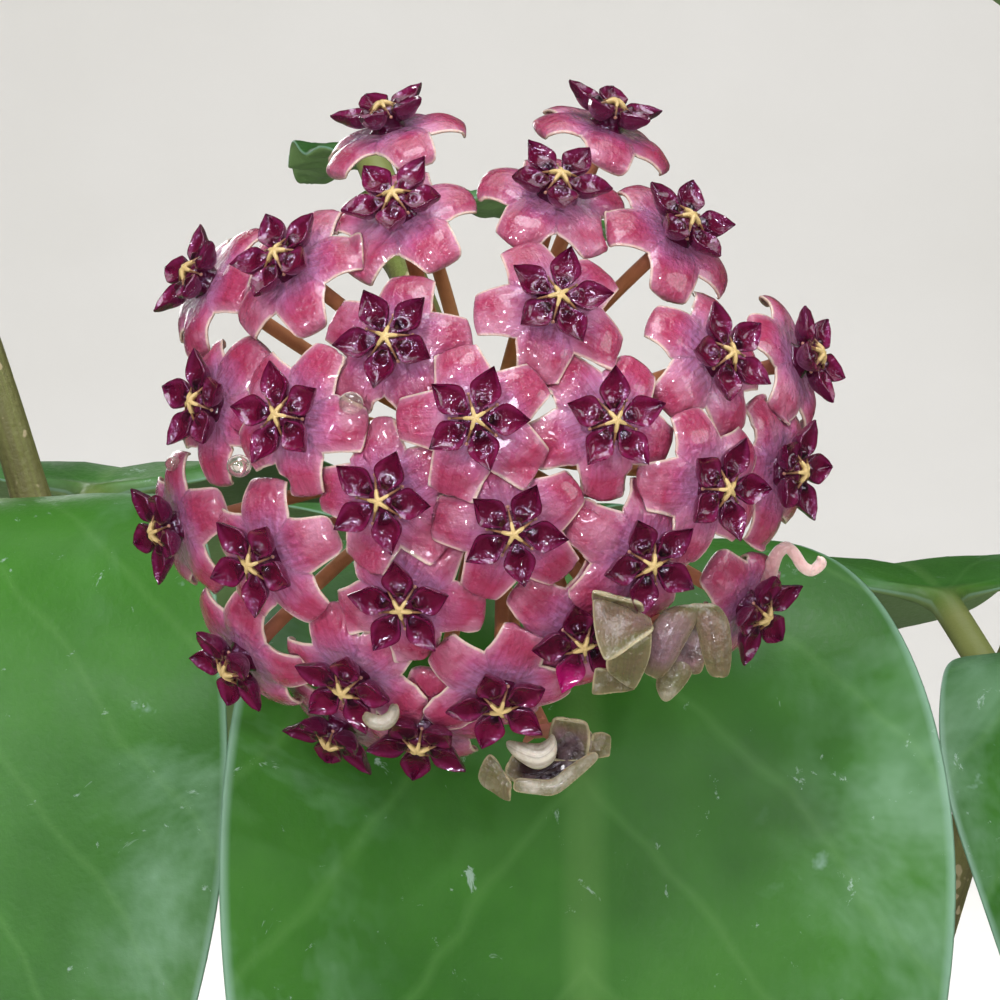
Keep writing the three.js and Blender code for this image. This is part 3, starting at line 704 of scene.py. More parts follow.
# Each open bloom: how far right of and above the apex it looks, its reach from there and its turn (degrees)
openBlooms = [
    (-30.4, 18.3, 37.0, 68), (-21.3, 20.1, 37.0, 23), (-9.4, 26.0, 36.8, 39), (7.7, 28.0, 36.8, 34),
    (21.0, 23.7, 37.2, 57), (-10.1, 11.5, 36.8, 26), (7.6, 15.7, 37.2, 58), (25.1, 9.9, 36.8, 22),
    (34.1, 9.8, 37.2, 35), (-29.8, 4.9, 36.0, 69), (-21.2, 3.6, 37.2, 8), (-1.0, 3.2, 38.0, 52),
    (13.3, 3.0, 37.2, 1), (24.7, -4.0, 38.2, 53), (32.4, -2.2, 36.8, 58), (-33.7, -8.4, 37.0, 38),
    (-23.9, -11.7, 37.8, 38), (-10.8, -5.2, 36.8, 50), (2.9, -8.5, 37.8, 48), (17.0, -11.7, 37.8, 24),
    (-8.6, -16.2, 36.8, 3), (-26.4, -22.6, 37.2, 17), (-14.5, -24.6, 36.8, 57), (10.0, -20.0, 36.8, 15),
    (1.5, -26.4, 37.2, 17), (28.6, -17.0, 36.8, 11), (-15.9, -30.0, 35.0, 14), (-6.8, -30.4, 36.8, 25),
    (-10.5, 35.0, 37.4, 30), (13.3, 35.2, 38.4, 62),
]


# Bloom centre: on the viewer's sight line, at its reach from the apex, on the near side
def bloomCentre(right, up, reach):
    sight = np.array([right - viewer["right"], viewer["distance"], up + viewer["below"]])
    sight /= np.linalg.norm(sight)
    toApex = apex - eye
    nearest = toApex @ sight
    return eye + sight * (nearest - np.sqrt(max(0.0, reach**2 - toApex @ toApex + nearest**2)))


# Bloom turn: its own +Z faces away from the apex, and its +Y is up in the picture before the turn
def bloomTurn(centre, turn):
    facing = Vector(centre - apex).normalized()
    lean = Vector((0, -1, 0)).rotation_difference(facing)
    front = Quaternion((1, 0, 0), np.pi / 2)
    spin = Quaternion((0, 0, 1), np.radians(turn))
    return np.array((lean @ front @ spin).to_matrix())


# Corolla: a five-lobed waxy star. A lobe narrows in a hollow curve from its sinuses to a square end with
# small round corners; its middle surface is that outline shrunk in rings, then each lobe is widened and
# slanted a little, bent back along its length, rolled across its width, and thickened along its normal.

petal = {
    "length": 8.8, "halfWidth": 2.8, "endWidth": 2.05, "sinus": 4.0, "square": 6.5, "bendFrom": 3.3,
    "bendTo": 7.3, "bend": 30, "curl": 80, "dome": 0.012, "crown": 0.032, "roll": 0.3,
    "middleThick": 0.62, "edgeThick": 0.24, "edgeWidth": 1.4, "widen": 0.14, "slant": 0.16,
    "rings": (0.1, 0.24, 0.36, 0.46, 0.54, 0.61, 0.68, 0.75, 0.815, 0.87, 0.915, 0.95, 0.98, 1.0),
    "around": 30, "ripple": 0.10, "spreadOfBend": 0.2, "level": -3.25, "firstLobe": 126,
}
fifth = 72          # degrees from one lobe to the next
# Lobes that stand out from the rest: bloom number and lobe, then bend and curl (degrees)
oddLobes = {(24, 3): (150, 20), (25, 2): (110, 20), (26, 1): (150, 20), (26, 4): (150, 20)}


# The outline of one lobe's sector at even steps of its length, as points (along, across)
def lobeOutline():
    phi = np.radians(np.linspace(-fifth / 2, fifth / 2, 1201))
    reach = np.full(phi.shape, petal["length"])
    near, far = np.zeros_like(reach), reach.copy()
    for _ in range(40):
        middle = (near + far) / 2
        s, t = middle * np.cos(phi), np.abs(middle * np.sin(phi))
        past = np.clip((s - petal["sinus"]) / (petal["length"] - petal["sinus"]), 0, 1)
        wide = petal["endWidth"] + (petal["halfWidth"] - petal["endWidth"]) * (1 - past) ** 1.8
        inside = (s / petal["length"]) ** petal["square"] + (t / wide) ** petal["square"] < 1
        near, far = np.where(inside, middle, near), np.where(inside, far, middle)
    s, t = near * np.cos(phi), near * np.sin(phi)
    lengths = np.concatenate([[0], np.cumsum(np.hypot(np.diff(s), np.diff(t)))])
    pick = np.linspace(0, lengths[-1], petal["around"], endpoint=False)
    return np.interp(pick, lengths, s), np.interp(pick, lengths, t)


outlineS, outlineT = lobeOutline()
ringShares = np.array(petal["rings"])[:, None]
flatS, flatT = ringShares * outlineS, ringShares * outlineT


# One lobe's middle surface in its own frame: x along, y across, z up
def lobeSurface(s, t, bend, curl, roll, phase):
    past = np.clip(s - petal["sinus"], 0, None) / (petal["length"] - petal["sinus"])
    t = t * (1 + petal["widen"] * np.sin(3.1 * phase) * past)
    s = s + petal["slant"] * np.sin(2.3 * phase) * t * past
    table = np.linspace(0, petal["length"] + 0.5, 260)
    lean = np.radians(bend) * smooth((table - petal["bendFrom"]) / (petal["bendTo"] - petal["bendFrom"]))
    tip = (table - petal["bendTo"] + 0.4) / (petal["length"] - petal["bendTo"] + 0.4)
    lean = lean + np.radians(curl) * smooth(tip)
    step = table[1] - table[0]
    x = np.interp(s, table, np.cumsum(np.cos(lean)) * step)
    z = np.interp(s, table, -np.cumsum(np.sin(lean)) * step)
    lean = np.interp(s, table, lean)
    width = np.abs(t) / petal["halfWidth"]
    free = smooth((s - 2.0) / 2.6)
    drop = free * (petal["crown"] * t**2 + petal["roll"] * width**6 * 0.8)
    drop = drop + free * roll * t
    drop = drop + petal["ripple"] * free * np.sin(1.1 * s + phase) * np.sin(0.9 * t + 1.3 * phase)
    drop = drop + petal["dome"] * (s**2 + t**2) * (1 - 0.5 * free)
    return np.stack([x - drop * np.sin(lean), t, z - drop * np.cos(lean)], -1)


# A whole corolla's middle surface, rings x points round, lobe by lobe
def corollaSurface(lobeBends):
    lobes = []
    for k, bends in enumerate(lobeBends):
        lobes.append(lobeSurface(flatS, flatT, *bends) @ aboutZ(petal["firstLobe"] + fifth * k))
    return np.concatenate(lobes, axis=1)


# The distance of each surface point from the flat outline, for the pale margin
def marginDistance():
    whole = np.stack([outlineS, outlineT], -1)
    fine = rowsAt(np.arange(0, len(whole) - 1, 0.25), np.arange(len(whole)), whole)
    away = np.hypot(flatS[..., None] - fine[:, 0], flatT[..., None] - fine[:, 1])
    return np.tile(away.min(-1), (1, 5))


petalMargin = marginDistance()


# Unit normals of a grid that closes round: across the rings x round the ring
def gridNormals(grid):
    outwards = np.gradient(grid, axis=0)
    around = np.roll(grid, -1, axis=1) - np.roll(grid, 1, axis=1)
    return unit(np.cross(outwards, around))


# A closed corolla from its middle surface: top rings out, a rounded rim, bottom rings back
def corollaSkin(grid, tone):
    normal = gridNormals(grid)
    swell = smooth(petalMargin / petal["edgeWidth"])
    half = (petal["edgeThick"] + (petal["middleThick"] - petal["edgeThick"]) * swell)[..., None] / 2
    top, bottom = grid + normal * half, grid - normal * half
    rim = grid[-1] + (grid[-1] - grid[-2]) * 0.35
    under = np.arange(len(petal["rings"]) - 1, 0, -2)
    rings = np.concatenate([top, rim[None], bottom[under]])
    s, t = np.tile(flatS, (1, 5)) / petal["length"], np.tile(flatT, (1, 5))
    marks = marksOf(s.shape, s, petalMargin, t, tone)
    marks = np.concatenate([marks, marks[-1:], marks[under]])
    centre = grid[0].mean(0)
    axis = normal[0].mean(0) * petal["middleThick"] / 2
    return skin(centre + axis, rings, centre - axis, marks, (0, 4, 0, tone), (0, 4, 0, tone))


# Gives way where corollas meet. Every flat middle is kept; a lobe that reaches over a lower bloom's
# middle is lifted onto it, and one that reaches a higher bloom's middle ducks under. Then, from the
# highest bloom down, each corolla is drawn as a height map in its own frame, widened by a cone, and the
# lower ones are pushed below it.

meeting = {"middle": 4.2, "overGap": 0.72, "underGap": 0.62, "slope": 0.9, "cell": 0.22, "reach": 9.6,
           "near": 17.5, "span": 5}


# Lowest height in each cell, then the least of the near cells' heights plus slope x distance
def heightMap(local):
    cells = int(2 * meeting["reach"] / meeting["cell"])
    rows = np.linspace(0, local.shape[0] - 1, 4 * local.shape[0])
    low = np.floor(rows).astype(int)
    high = np.minimum(low + 1, local.shape[0] - 1)
    part = (rows - low)[:, None, None]
    dense = local[low] * (1 - part) + local[high] * part
    dense = np.concatenate([dense * (1 - f) + np.roll(dense, -1, axis=1) * f for f in (0, 0.33, 0.67)])
    cell = np.clip(((dense[..., :2] + meeting["reach"]) / meeting["cell"]).astype(int), 0, cells - 1)
    heights = np.full((cells, cells), 99.0)
    np.minimum.at(heights, (cell[..., 0].ravel(), cell[..., 1].ravel()), dense[..., 2].ravel())
    widened = heights.copy()
    span = meeting["span"]
    for i in range(-span, span + 1):
        for j in range(-span, span + 1):
            away = np.hypot(i, j) * meeting["cell"]
            if away <= span * meeting["cell"]:
                shifted = np.roll(heights, (i, j), axis=(0, 1)) + meeting["slope"] * away
                widened = np.minimum(widened, shifted)
    return widened


# Order runs from the highest bloom down; a point's height is clipped in the other bloom's frame
def settle(grids, centres, turns, order):
    local = lambda grid, i: (grid - centres[i]) @ turns[i]
    world = lambda grid, i: grid @ turns[i].T + centres[i]
    rank = {bloom: n for n, bloom in enumerate(order)}
    near = lambda i, j: i != j and np.linalg.norm(centres[i] - centres[j]) < meeting["near"]
    for i in order:
        for j in order:
            if not near(i, j):
                continue
            seen = local(grids[i], j)
            r = np.hypot(seen[..., 0], seen[..., 1])
            flat = petal["level"] - petal["dome"] * np.minimum(r, meeting["middle"]) ** 2
            slant = meeting["slope"] * np.clip(r - meeting["middle"], 0, None)
            if rank[i] < rank[j]:
                seen[..., 2] = np.maximum(seen[..., 2], flat + meeting["overGap"] - slant)
            else:
                seen[..., 2] = np.minimum(seen[..., 2], flat - meeting["overGap"] + slant)
            grids[i] = world(seen, j)
    for i in order:
        heights = heightMap(local(grids[i], i))
        for j in order[rank[i] + 1:]:
            if not near(i, j):
                continue
            seen = local(grids[j], i)
            cell = ((seen[..., :2] + meeting["reach"]) / meeting["cell"]).astype(int)
            inside = ((cell >= 0) & (cell < len(heights))).all(-1)
            cell = np.clip(cell, 0, len(heights) - 1)
            limit = np.where(inside, heights[cell[..., 0], cell[..., 1]], 99.0) - meeting["underGap"]
            seen[..., 2] = np.minimum(seen[..., 2], limit)
            grids[j] = world(seen, i)
    return grids


# Corona: five scales between the lobes. Each is a kite of cross-sections from its raised acute tip to
# its root: a hollowed top with a sharp raised rim and an inner bulb, over a rounded keel. The kite's half
# width is a soft minimum of two straight sides, 1 / (a^-p + b^-p)^(1/p).

scale = {
    "tip": 5.15, "root": 0.7, "halfWidth": 1.52, "rows": 30, "cols": 28, "level": -3.0, "trough": 1.75,
    "rootRise": 0.35, "tipRise": 0.95, "rim": 0.7, "bulb": 0.68, "bulbAt": 1.9, "keel": 1.6,
    "widest": 0.47, "corner": 3.2, "first": 90, "bulbLong": 0.52, "bulbWide": 0.55,
    "crease": 0.08, "creaseWide": 0.16,
}
glowPaintedScales = {24: 2}          # the scale painted with a glow, as if light shone through it: bloom number and scale
column = [(0.5, 2.3), (1.0, 2.25), (1.25, 1.9), (1.3, 1.2), (1.2, 0.7), (1.5, 0.25), (1.9, -0.1)]


def scaleSkins(tone, glowScale):
    u = 1 - np.linspace(0.012, 0.985, scale["rows"])[:, None]
    r = scale["root"] + (scale["tip"] - scale["root"]) * u
    p = scale["corner"]
    inner, outer = u / scale["widest"], (1 - u) / (1 - scale["widest"])
    half = scale["halfWidth"] * 2 ** (1 / p) / (inner**-p + outer**-p) ** (1 / p)
    angle = fullTurn(scale["cols"])
    v, isTop = np.cos(angle), np.sin(angle) >= 0
    t = v * half
    centre = scale["trough"] + scale["rootRise"] * (1 - smooth(u / 0.4)) + scale["tipRise"] * u**3.2
    rim = scale["rim"] * smooth((u - 0.08) / 0.3) * (1 - 0.6 * smooth((u - 0.75) / 0.25))
    bulge = ((r - scale["bulbAt"]) / scale["bulbLong"]) ** 2 + (t / scale["bulbWide"]) ** 2
    bulb = scale["bulb"] * np.exp(-bulge)
    crease = -scale["crease"] * np.exp(-(t / scale["creaseWide"]) ** 2) * smooth((u - 0.5) / 0.15)
    top = centre + rim * np.abs(v) ** 2.1 + bulb + crease
    deep = (0.18 + scale["keel"] * np.sin(np.pi * np.clip(u, 0, 1) ** 0.75) ** 0.7) * (1 - v**2) ** 0.6
    under = centre + rim - deep
    z = np.where(isTop, top, under) + scale["level"]
    flat = np.stack(np.broadcast_arrays(r, t, z), -1)
    marks = marksOf(z.shape, u, np.abs(v), isTop * 1.0, tone)
    skins = []
    for k in range(5):
        turn = aboutZ(scale["first"] + fifth * k)
        tip = np.array([scale["tip"], 0, z[0].mean()]) @ turn
        root = np.array([scale["root"] - 0.05, 0, z[-1].mean()]) @ turn
        glowMarked = marks if k != glowScale else marks - (0, 0, 0, 2)          # its tone below 0 marks it for the painted glow in the finish
        skins.append(skin(tip, flat @ turn, root, glowMarked))
    return skins + [columnSkin(tone)]


# Column under the scales: a five-ribbed waist from the corolla up to the crown, by radius and height
def columnSkin(tone):
    profile, angle = np.array(column), fullTurn(30)
    r = profile[:, :1] * (1 + 0.08 * np.cos(5 * (angle - np.pi / 2)))
    z = np.broadcast_to(profile[:, 1:], r.shape) + scale["level"]
    # Marked as a root (along 0), so the finish paints the column near-black as shade in the cavity
    marks = marksOf(z.shape, 0.0, 0.0, 0.0, tone)
    return skin((0, 0, z[0, 0]), turned(r, angle, z), (0, 0, z[-1, 0]), marks)


# Star of the anthers: radius swells at the five arms, domed on top; a ridge and a knob run out of each

star = {"inner": 0.4, "arm": 0.8, "top": 2.95, "drop": 0.55, "thick": 0.5, "knob": 0.19,
        "ridgeFrom": 0.9, "ridgeTo": 2.25, "ridgeTop": 2.42, "ridgeFall": 0.8, "ridgeRadius": 0.14}


def starSkins(tone):
    angle = fullTurn(60)
    lobes = (0.5 + 0.5 * np.cos(5 * (angle - np.radians(petal["firstLobe"])))) ** 2.2
    outline = star["inner"] + star["arm"] * lobes
    shares = np.array([0.25, 0.5, 0.75, 0.92, 1.0])[:, None]
    r = shares * outline
    crest = 0.10 * lobes * np.sin(np.pi * shares)
    z = scale["level"] + star["top"] - star["drop"] * (r / (star["inner"] + star["arm"])) ** 1.6 + crest
    top = turned(r, angle, z)
    under = top[[4, 2]] * (0.94, 0.94, 1) - (0, 0, star["thick"])
    rings = np.concatenate([top, under])
    marks = marksOf(rings.shape[:2], 0.0, 0.0, 0.0, tone)
    skins = [skin((0, 0, scale["level"] + star["top"]), rings, (0, 0, under[1, 0, 2]), marks)]
    share = np.linspace(0, 1, 7)
    r = star["ridgeFrom"] + (star["ridgeTo"] - star["ridgeFrom"]) * share
    fall = scale["level"] + star["ridgeTop"] - star["ridgeFall"] * share**1.2
    radii = star["ridgeRadius"] - 0.05 * share
    for k in range(5):
        out = aboutZ(petal["firstLobe"] + fifth * k)[0, :2]
        centres = np.concatenate([r[:, None] * out, fall[:, None]], -1)
        ahead = unit(np.gradient(centres, axis=0))
        ridge = tubeRings(centres, ahead, radii, 8, (-out[1], out[0], 0))
        marks = marksOf(ridge.shape[:2], 0.5 + 0.2 * share[:, None], 0.0, 0.0, tone)
        skins.append(skin(centres[0], ridge, centres[-1], marks))
        knob, quads, tris, _ = pebble(5, 9)
        spot = centres[-1] + (*(out * 0.15), 0)
        skins.append((knob * star["knob"] * (1, 1, 0.85) + spot, quads, tris, np.full((len(knob), 4), 1.0)))
    return skins


# Pedicel: a thin tube from the knob at the apex to the calyx, bowed sideways a little, with five small
# sepals pressed to the corolla's back
sepal = {"from": 0.5, "length": 2.1, "halfWidth": 0.62, "thick": 0.14, "rows": 7, "cols": 10}


def pedicelSkins(turn, reach, phase):
    end = reach + petal["level"] - 0.25
    share = np.linspace(0, 1, 26)
    z = umbel["knobRadius"] * 0.5 + (end - umbel["knobRadius"] * 0.5) * share
    centres = turned(umbel["pedicelBow"] * np.sin(np.pi * share), phase, z)
    swell = 1 + 0.5 * smooth((share - 0.9) / 0.1) + 0.35 * smooth((0.16 - share) / 0.1)
    rings = tubeRings(centres, unit(np.gradient(centres, axis=0)), umbel["pedicelRadius"] * swell, 12)
    marks = marksOf(rings.shape[:2], share[:, None], 0.0, 0.0, phase / 6.3)
    skins = [skin(centres[0], rings, centres[-1], marks)]
    u = np.linspace(0.02, 0.98, sepal["rows"])[:, None]
    angle = fullTurn(sepal["cols"])
    half = sepal["halfWidth"] * np.sin(np.pi * (0.25 + 0.75 * u)) ** 0.7
    height = end - 0.35 * (1 - u) - 0.12 + sepal["thick"] * np.sin(angle)
    r = sepal["from"] + sepal["length"] * u
    flat = np.stack(np.broadcast_arrays(r, half * np.cos(angle), height), -1)
    marks = marksOf(height.shape, 0.95, 1.0, 0.0, phase / 6.3)
    for k in range(5):
        grid = flat[::-1] @ aboutZ(scale["first"] + fifth * k)
        skins.append(skin(grid[0].mean(0), grid, grid[-1].mean(0), marks))
    return [moved(part, lambda p: p @ turn.T + apex) for part in skins]


# Waxy petal: tones run along the lobe, with streaks, a haze and a pale margin
def petalFinish(name, tones, coat):
    finish = Finish(name, Coat_Weight=coat, Coat_Roughness=0.07, Specular_IOR_Level=0.42,
                    Subsurface_Weight=0.12, Subsurface_Scale=0.0008)
    along, margin, across, tone = finish.place()
    lines = finish.vector(finish.times(across, 3.2), finish.times(along, 3.5), finish.times(tone, 40.0))
    streak = finish.noise(1.0, 3, 0.6, lines)
    mottle = finish.noise(330, 4, 0.65)
    patches = finish.ramp(finish.noise(210, 3, 0.6), (0.5, 0.0), (0.68, 0.55))
    pimples = finish.noise(1300, 2, 0.5)
    fine = finish.noise(2600, 3, 0.6)
    run = finish.plus(along, finish.times(finish.minus(mottle, 0.5), 0.45))
    body = finish.ramp(run, (0.3, tones["heart"]), (0.46, tones["inner"]), (0.62, tones["middle"]),
                       (0.82, tones["outer"]), (0.97, tones["tip"]))
    veined = finish.mix(finish.ramp(streak, (0.42, 0.0), (0.7, 0.55)), body, tones["vein"])
    veined = finish.mix(patches, veined, tones["haze"])
    ragged = finish.plus(margin, finish.times(finish.minus(mottle, 0.5), 0.8))
    hazed = finish.mix(finish.ramp(ragged, (0.1, 0.6), (0.5, 0.3), (1.0, 0.0)), veined, tones["haze"])
    edged = finish.mix(finish.ramp(margin, (0.06, 0.95), (0.14, 0.6), (0.26, 0.0)), hazed, tones["edge"])
    shade = finish.mix(finish.times(tone, 0.35), edged, tones["deep"], "MULTIPLY")
    finish.colour(shade)
    finish.roughness(mottle, 0.16, 0.36)
    relief = finish.plus(finish.times(fine, 0.12), finish.times(streak, 0.35))
    finish.bump(finish.plus(relief, pimples), 0.25)
    return finish.material


def coronaFinish():
    finish = Finish("coronaMaroon", Coat_Weight=0.8, Coat_Roughness=0.06, Specular_IOR_Level=0.45,
                    Specular_Tint=(0.9, 0.6, 1.0, 1))
    along, across, upper, tone = finish.place()
    mottle = finish.noise(500, 3, 0.6)
    # Near-black towards each scale's root and on the column: painted shade in the cavity round the star
    body = finish.ramp(along, (0.0, "0a0003"), (0.22, "19010a"), (0.46, "560522"), (0.75, "5c062a"),
                       (1.0, "3e0520"))
    # Lilac-violet towards each scale's margins: a painted reflection of soft light on the rims
    rimSheen = finish.mix(finish.ramp(across, (0.55, 0.0), (0.82, 0.6), (0.97, 0.1)), body, "88265a")
    # Random patches of lighter crimson: partly the scales' own mottle, partly painted light on them
    mottleAndSheen = finish.mix(finish.times(finish.ramp(mottle, (0.4, 0.0), (0.7, 1.0)), 0.35), rimSheen, "861640")
    shaded = finish.mix(finish.times(finish.math("MAXIMUM", tone, 0.0), 0.4), mottleAndSheen, "8a6a8c", "MULTIPLY")
    sided = finish.mix(finish.minus(1.0, upper), shaded, "4c0a2a")
    # A scale whose tone is below 0 is painted a bright magenta glow over its outer half, standing in for
    # light shining through it
    glowMarked = finish.math("LESS_THAN", tone, -0.5)
    paintedGlow = finish.times(glowMarked, finish.ramp(along, (0.3, 0.0), (0.7, 0.75)))
    finish.colour(finish.mix(paintedGlow, sided, "b40e68"))
    finish.roughness(mottle, 0.1, 0.26)
    finish.bump(finish.noise(1100, 2, 0.5), 0.38)
    return finish.material


def starFinish():
    finish = Finish("antherStraw", Specular_IOR_Level=0.5, Coat_Weight=0.2, Coat_Roughness=0.2)
    kind, _, _, _ = finish.place()
    grain = finish.noise(1600, 3)
    base = finish.ramp(kind, (0.0, "cdb272"), (0.3, "bd9a58"), (0.5, "8a6238"), (0.8, "7a4c38"),
                       (1.0, "c08c74"))
    finish.colour(finish.speckled(0.4, base, grain, (0.3, 0.7), (0.6, 1.0)))
    finish.roughness(grain, 0.35, 0.55)
    finish.bump(grain, 0.06)
    return finish.material


def stalkFinish():
    finish = Finish("stalkTan", Specular_IOR_Level=0.4)
    along, _, _, tone = finish.place()
    grain = finish.noise(900, 4, 0.65)
    base = finish.ramp(along, (0.0, "9a8646"), (0.35, "bc8a52"), (0.8, "cc8a5a"), (1.0, "c07864"))
    tinted = finish.mix(finish.times(tone, 0.4), base, "a56548")
    finish.colour(finish.speckled(0.45, tinted, grain, (0.3, 0.7), (0.62, 1.0)))
    finish.roughness(grain, 0.45, 0.65)
    finish.bump(grain, 0.12)
    return finish.material


roseTones = {"heart": "b87aa2", "inner": "b65c84", "middle": "a83a5a", "outer": "ac4866", "tip": "b6667c",
             "vein": "8e2846", "haze": "cc94a8", "edge": "dfcab4", "deep": "cc9cb4"}
curledTones = {"heart": "b4568a", "inner": "b05c78", "middle": "b9707e", "outer": "c98c8c", "tip": "e2c0b2",
               "vein": "b87078", "haze": "e8d2c4", "edge": "efe2cf", "deep": "e4c8c4"}
fadedTones = {"heart": "220812", "inner": "87696f", "middle": "75624e", "outer": "5f6036", "tip": "d6d0bc",
              "vein": "54463a", "haze": "7c7454", "edge": "b4aa84", "deep": "b0a890"}


# All corollas' middle surfaces: each lobe bent a little its own way, then settled clear of each other
def layCorollas(centres, turns):
    grids = []
    for i, centre in enumerate(centres):
        bends = []
        for k in range(5):
            bend = petal["bend"] * (1 + petal["spreadOfBend"] * rng.uniform(-1, 1))
            curl = petal["curl"] * (1 + 0.3 * rng.uniform(-1, 1))
            roll, phase = rng.uniform(-0.07, 0.07), rng.uniform(0, 6.3)
            bend, curl = oddLobes.get((i + 1, k), (bend, curl))
            bends.append((bend, curl, roll, phase))
        flat = corollaSurface(bends) + (0, 0, petal["level"])
        grids.append(flat @ turns[i].T + centre)
    order = sorted(range(len(openBlooms)), key=lambda i: (-openBlooms[i][2], i))
    return settle(grids, centres, turns, order)


def makeBlooms():
    centres = [bloomCentre(*bloom[:3]) for bloom in openBlooms]
    turns = [bloomTurn(centre, bloom[3]) for centre, bloom in zip(centres, openBlooms)]
    grids = layCorollas(centres, turns)
    print("corollas settled")

    rose = petalFinish("petalRose", roseTones, 0.65)
    maroon = coronaFinish()
    stars, stalks = [], []
    for i, (grid, centre, turn) in enumerate(zip(grids, centres, turns)):
        tone = rng.uniform(0, 1)
        place = lambda part: moved(part, lambda p: p @ turn.T + centre)
        nodes = ["umbel"] if i == 0 else []
        addPiece(f"corolla_{i + 1:02d}_petals", [corollaSkin(grid, tone)], rose, "petal", *nodes)
        scales = [place(part) for part in scaleSkins(tone, glowPaintedScales.get(i + 1))]
        addPiece(f"corona_{i + 1:02d}_scales", scales, maroon, "corona", f"corona_{i + 1:02d}")
        stars += [place(part) for part in starSkins(tone)]
        stalks += pedicelSkins(turn, openBlooms[i][2], rng.uniform(0, 6.3))
    addPiece("anther_stars", stars, starFinish(), "corona")
    print("blooms made")

    faded = petalFinish("petalFading", fadedTones, 0.2)
    curled = petalFinish("petalCurled", curledTones, 0.4)
    for number, bloom in enumerate(fadingBlooms, 1):
        turn = bloomTurn(bloomCentre(*bloom["stalk"]), 0)
        stalks += pedicelSkins(turn, bloom["stalk"][2], rng.uniform(0, 6.3))
        lobes = placedLobes(bloom["place"], bloom["lobes"])
        addPiece(f"fading_bloom_{number}", lobes, faded, "fading_petal", f"spent_bloom_{number}")
    for name, (place, lobe) in curledLobes.items():
        material = curled if name == "pink" else faded
        addPiece(f"curled_lobe_{name}", placedLobes(place, [lobe]), material, "petal")
    makeNectar(grids)
    tan = stalkFinish()
    addPiece("bloom_stalks", stalks, tan, "petal")
    makeStalk(tan)
    print("stalks made")


# Fading blooms: their lobes have folded over each other and dried at the margins. A lobe is a row of
# stations along its spine: place (right, up and forward of the bloom's middle), half width, slant of the
# cross-section (degrees), how far its margins stand forward, and its shade (0.3 dark to 1 cream).

fading = {"rows": 44, "cols": 17, "thick": 0.6, "wrinkle": 0.09, "square": 18}
shutBloom = {"place": (13.7, -19.5, 39.6), "stalk": (14.6, -19.1, 39.6), "lobes": [
    [(0.0, 3.5, -1.6, 2.9, -20, -0.3, 0.58), (0.1, 2.2, -0.5, 2.8, -8, -0.2, 0.6),
     (0.3, 0.9, 0.6, 2.7, 15, 0, 0.66), (0.6, -0.2, 1.5, 2.6, 36, 0.1, 0.9)],
    [(0.6, 0.3, 1.2, 2.6, 36, 0.1, 0.86), (0.6, -1.4, 0.7, 2.2, 22, -0.1, 0.78),
     (0.5, -2.8, 0, 1.4, 0, -0.1, 0.8), (0.9, -4.0, -0.4, 0.4, -10, 0, 0.84)],
    [(-0.6, -2.4, -0.8, 1.9, -12, 0, 0.72), (-0.7, -3.5, -1.0, 2.0, -6, 0, 0.74),
     (-0.8, -4.5, -1.2, 2.0, 8, 0, 0.8)],
    [(-0.2, 2.4, -2.4, 2.5, -20, 0.3, 0.3), (-0.3, 3.6, -2.2, 2.6, -18, 0.3, 0.42),
     (-0.4, 4.5, -1.3, 2.4, -14, 0.2, 0.88)],
]}
# Its two upper lobes start at shade 0.97: a cream row, partly dried margin and partly a painted highlight
# along the top ridge
hangingBloom = {"place": (20.1, -19.8, 38.8), "stalk": (20.6, -20.3, 40.4), "lobes": [
    [(0.2, 4.0, 0.2, 1.3, 10, -0.6, 0.97), (-0.6, 3.0, 1.2, 1.6, -12, -0.9, 0.55),
     (-1.7, 1.2, 1.6, 1.7, -28, -1.0, 0.48), (-2.6, -0.8, 1.4, 1.5, -28, -1.0, 0.5),
     (-3.3, -2.6, 0.6, 0.9, -26, -0.7, 0.82)],
    [(1.6, 4.1, 0, 1.4, 0, -0.5, 0.97), (2.3, 2.8, 0.8, 1.6, -6, -0.7, 0.6),
     (2.7, 1.0, 0.9, 1.5, -4, -0.8, 0.62), (2.9, -0.9, 0.7, 1.3, -6, -0.7, 0.7),
     (3.1, -2.7, 0.2, 0.9, -4, -0.4, 0.84)],
    [(0.7, 3.6, -0.6, 1.8, 0, 0.3, 0.62), (0.7, 1.5, -0.4, 1.6, 0, 0.5, 0.5),
     (0.3, -0.6, -0.2, 1.7, 0, 0.3, 0.4), (0.1, -2.4, -0.6, 1.3, -10, 0, 0.7)],
    [(-0.4, -0.8, -0.4, 1.6, -14, -0.3, 0.6), (-1.1, -2.4, 0, 1.5, -14, -0.4, 0.74),
     (-1.7, -3.8, -0.1, 1.1, -14, -0.3, 0.8), (-2.0, -5.0, -0.3, 0.3, -14, 0, 0.86)],
]}
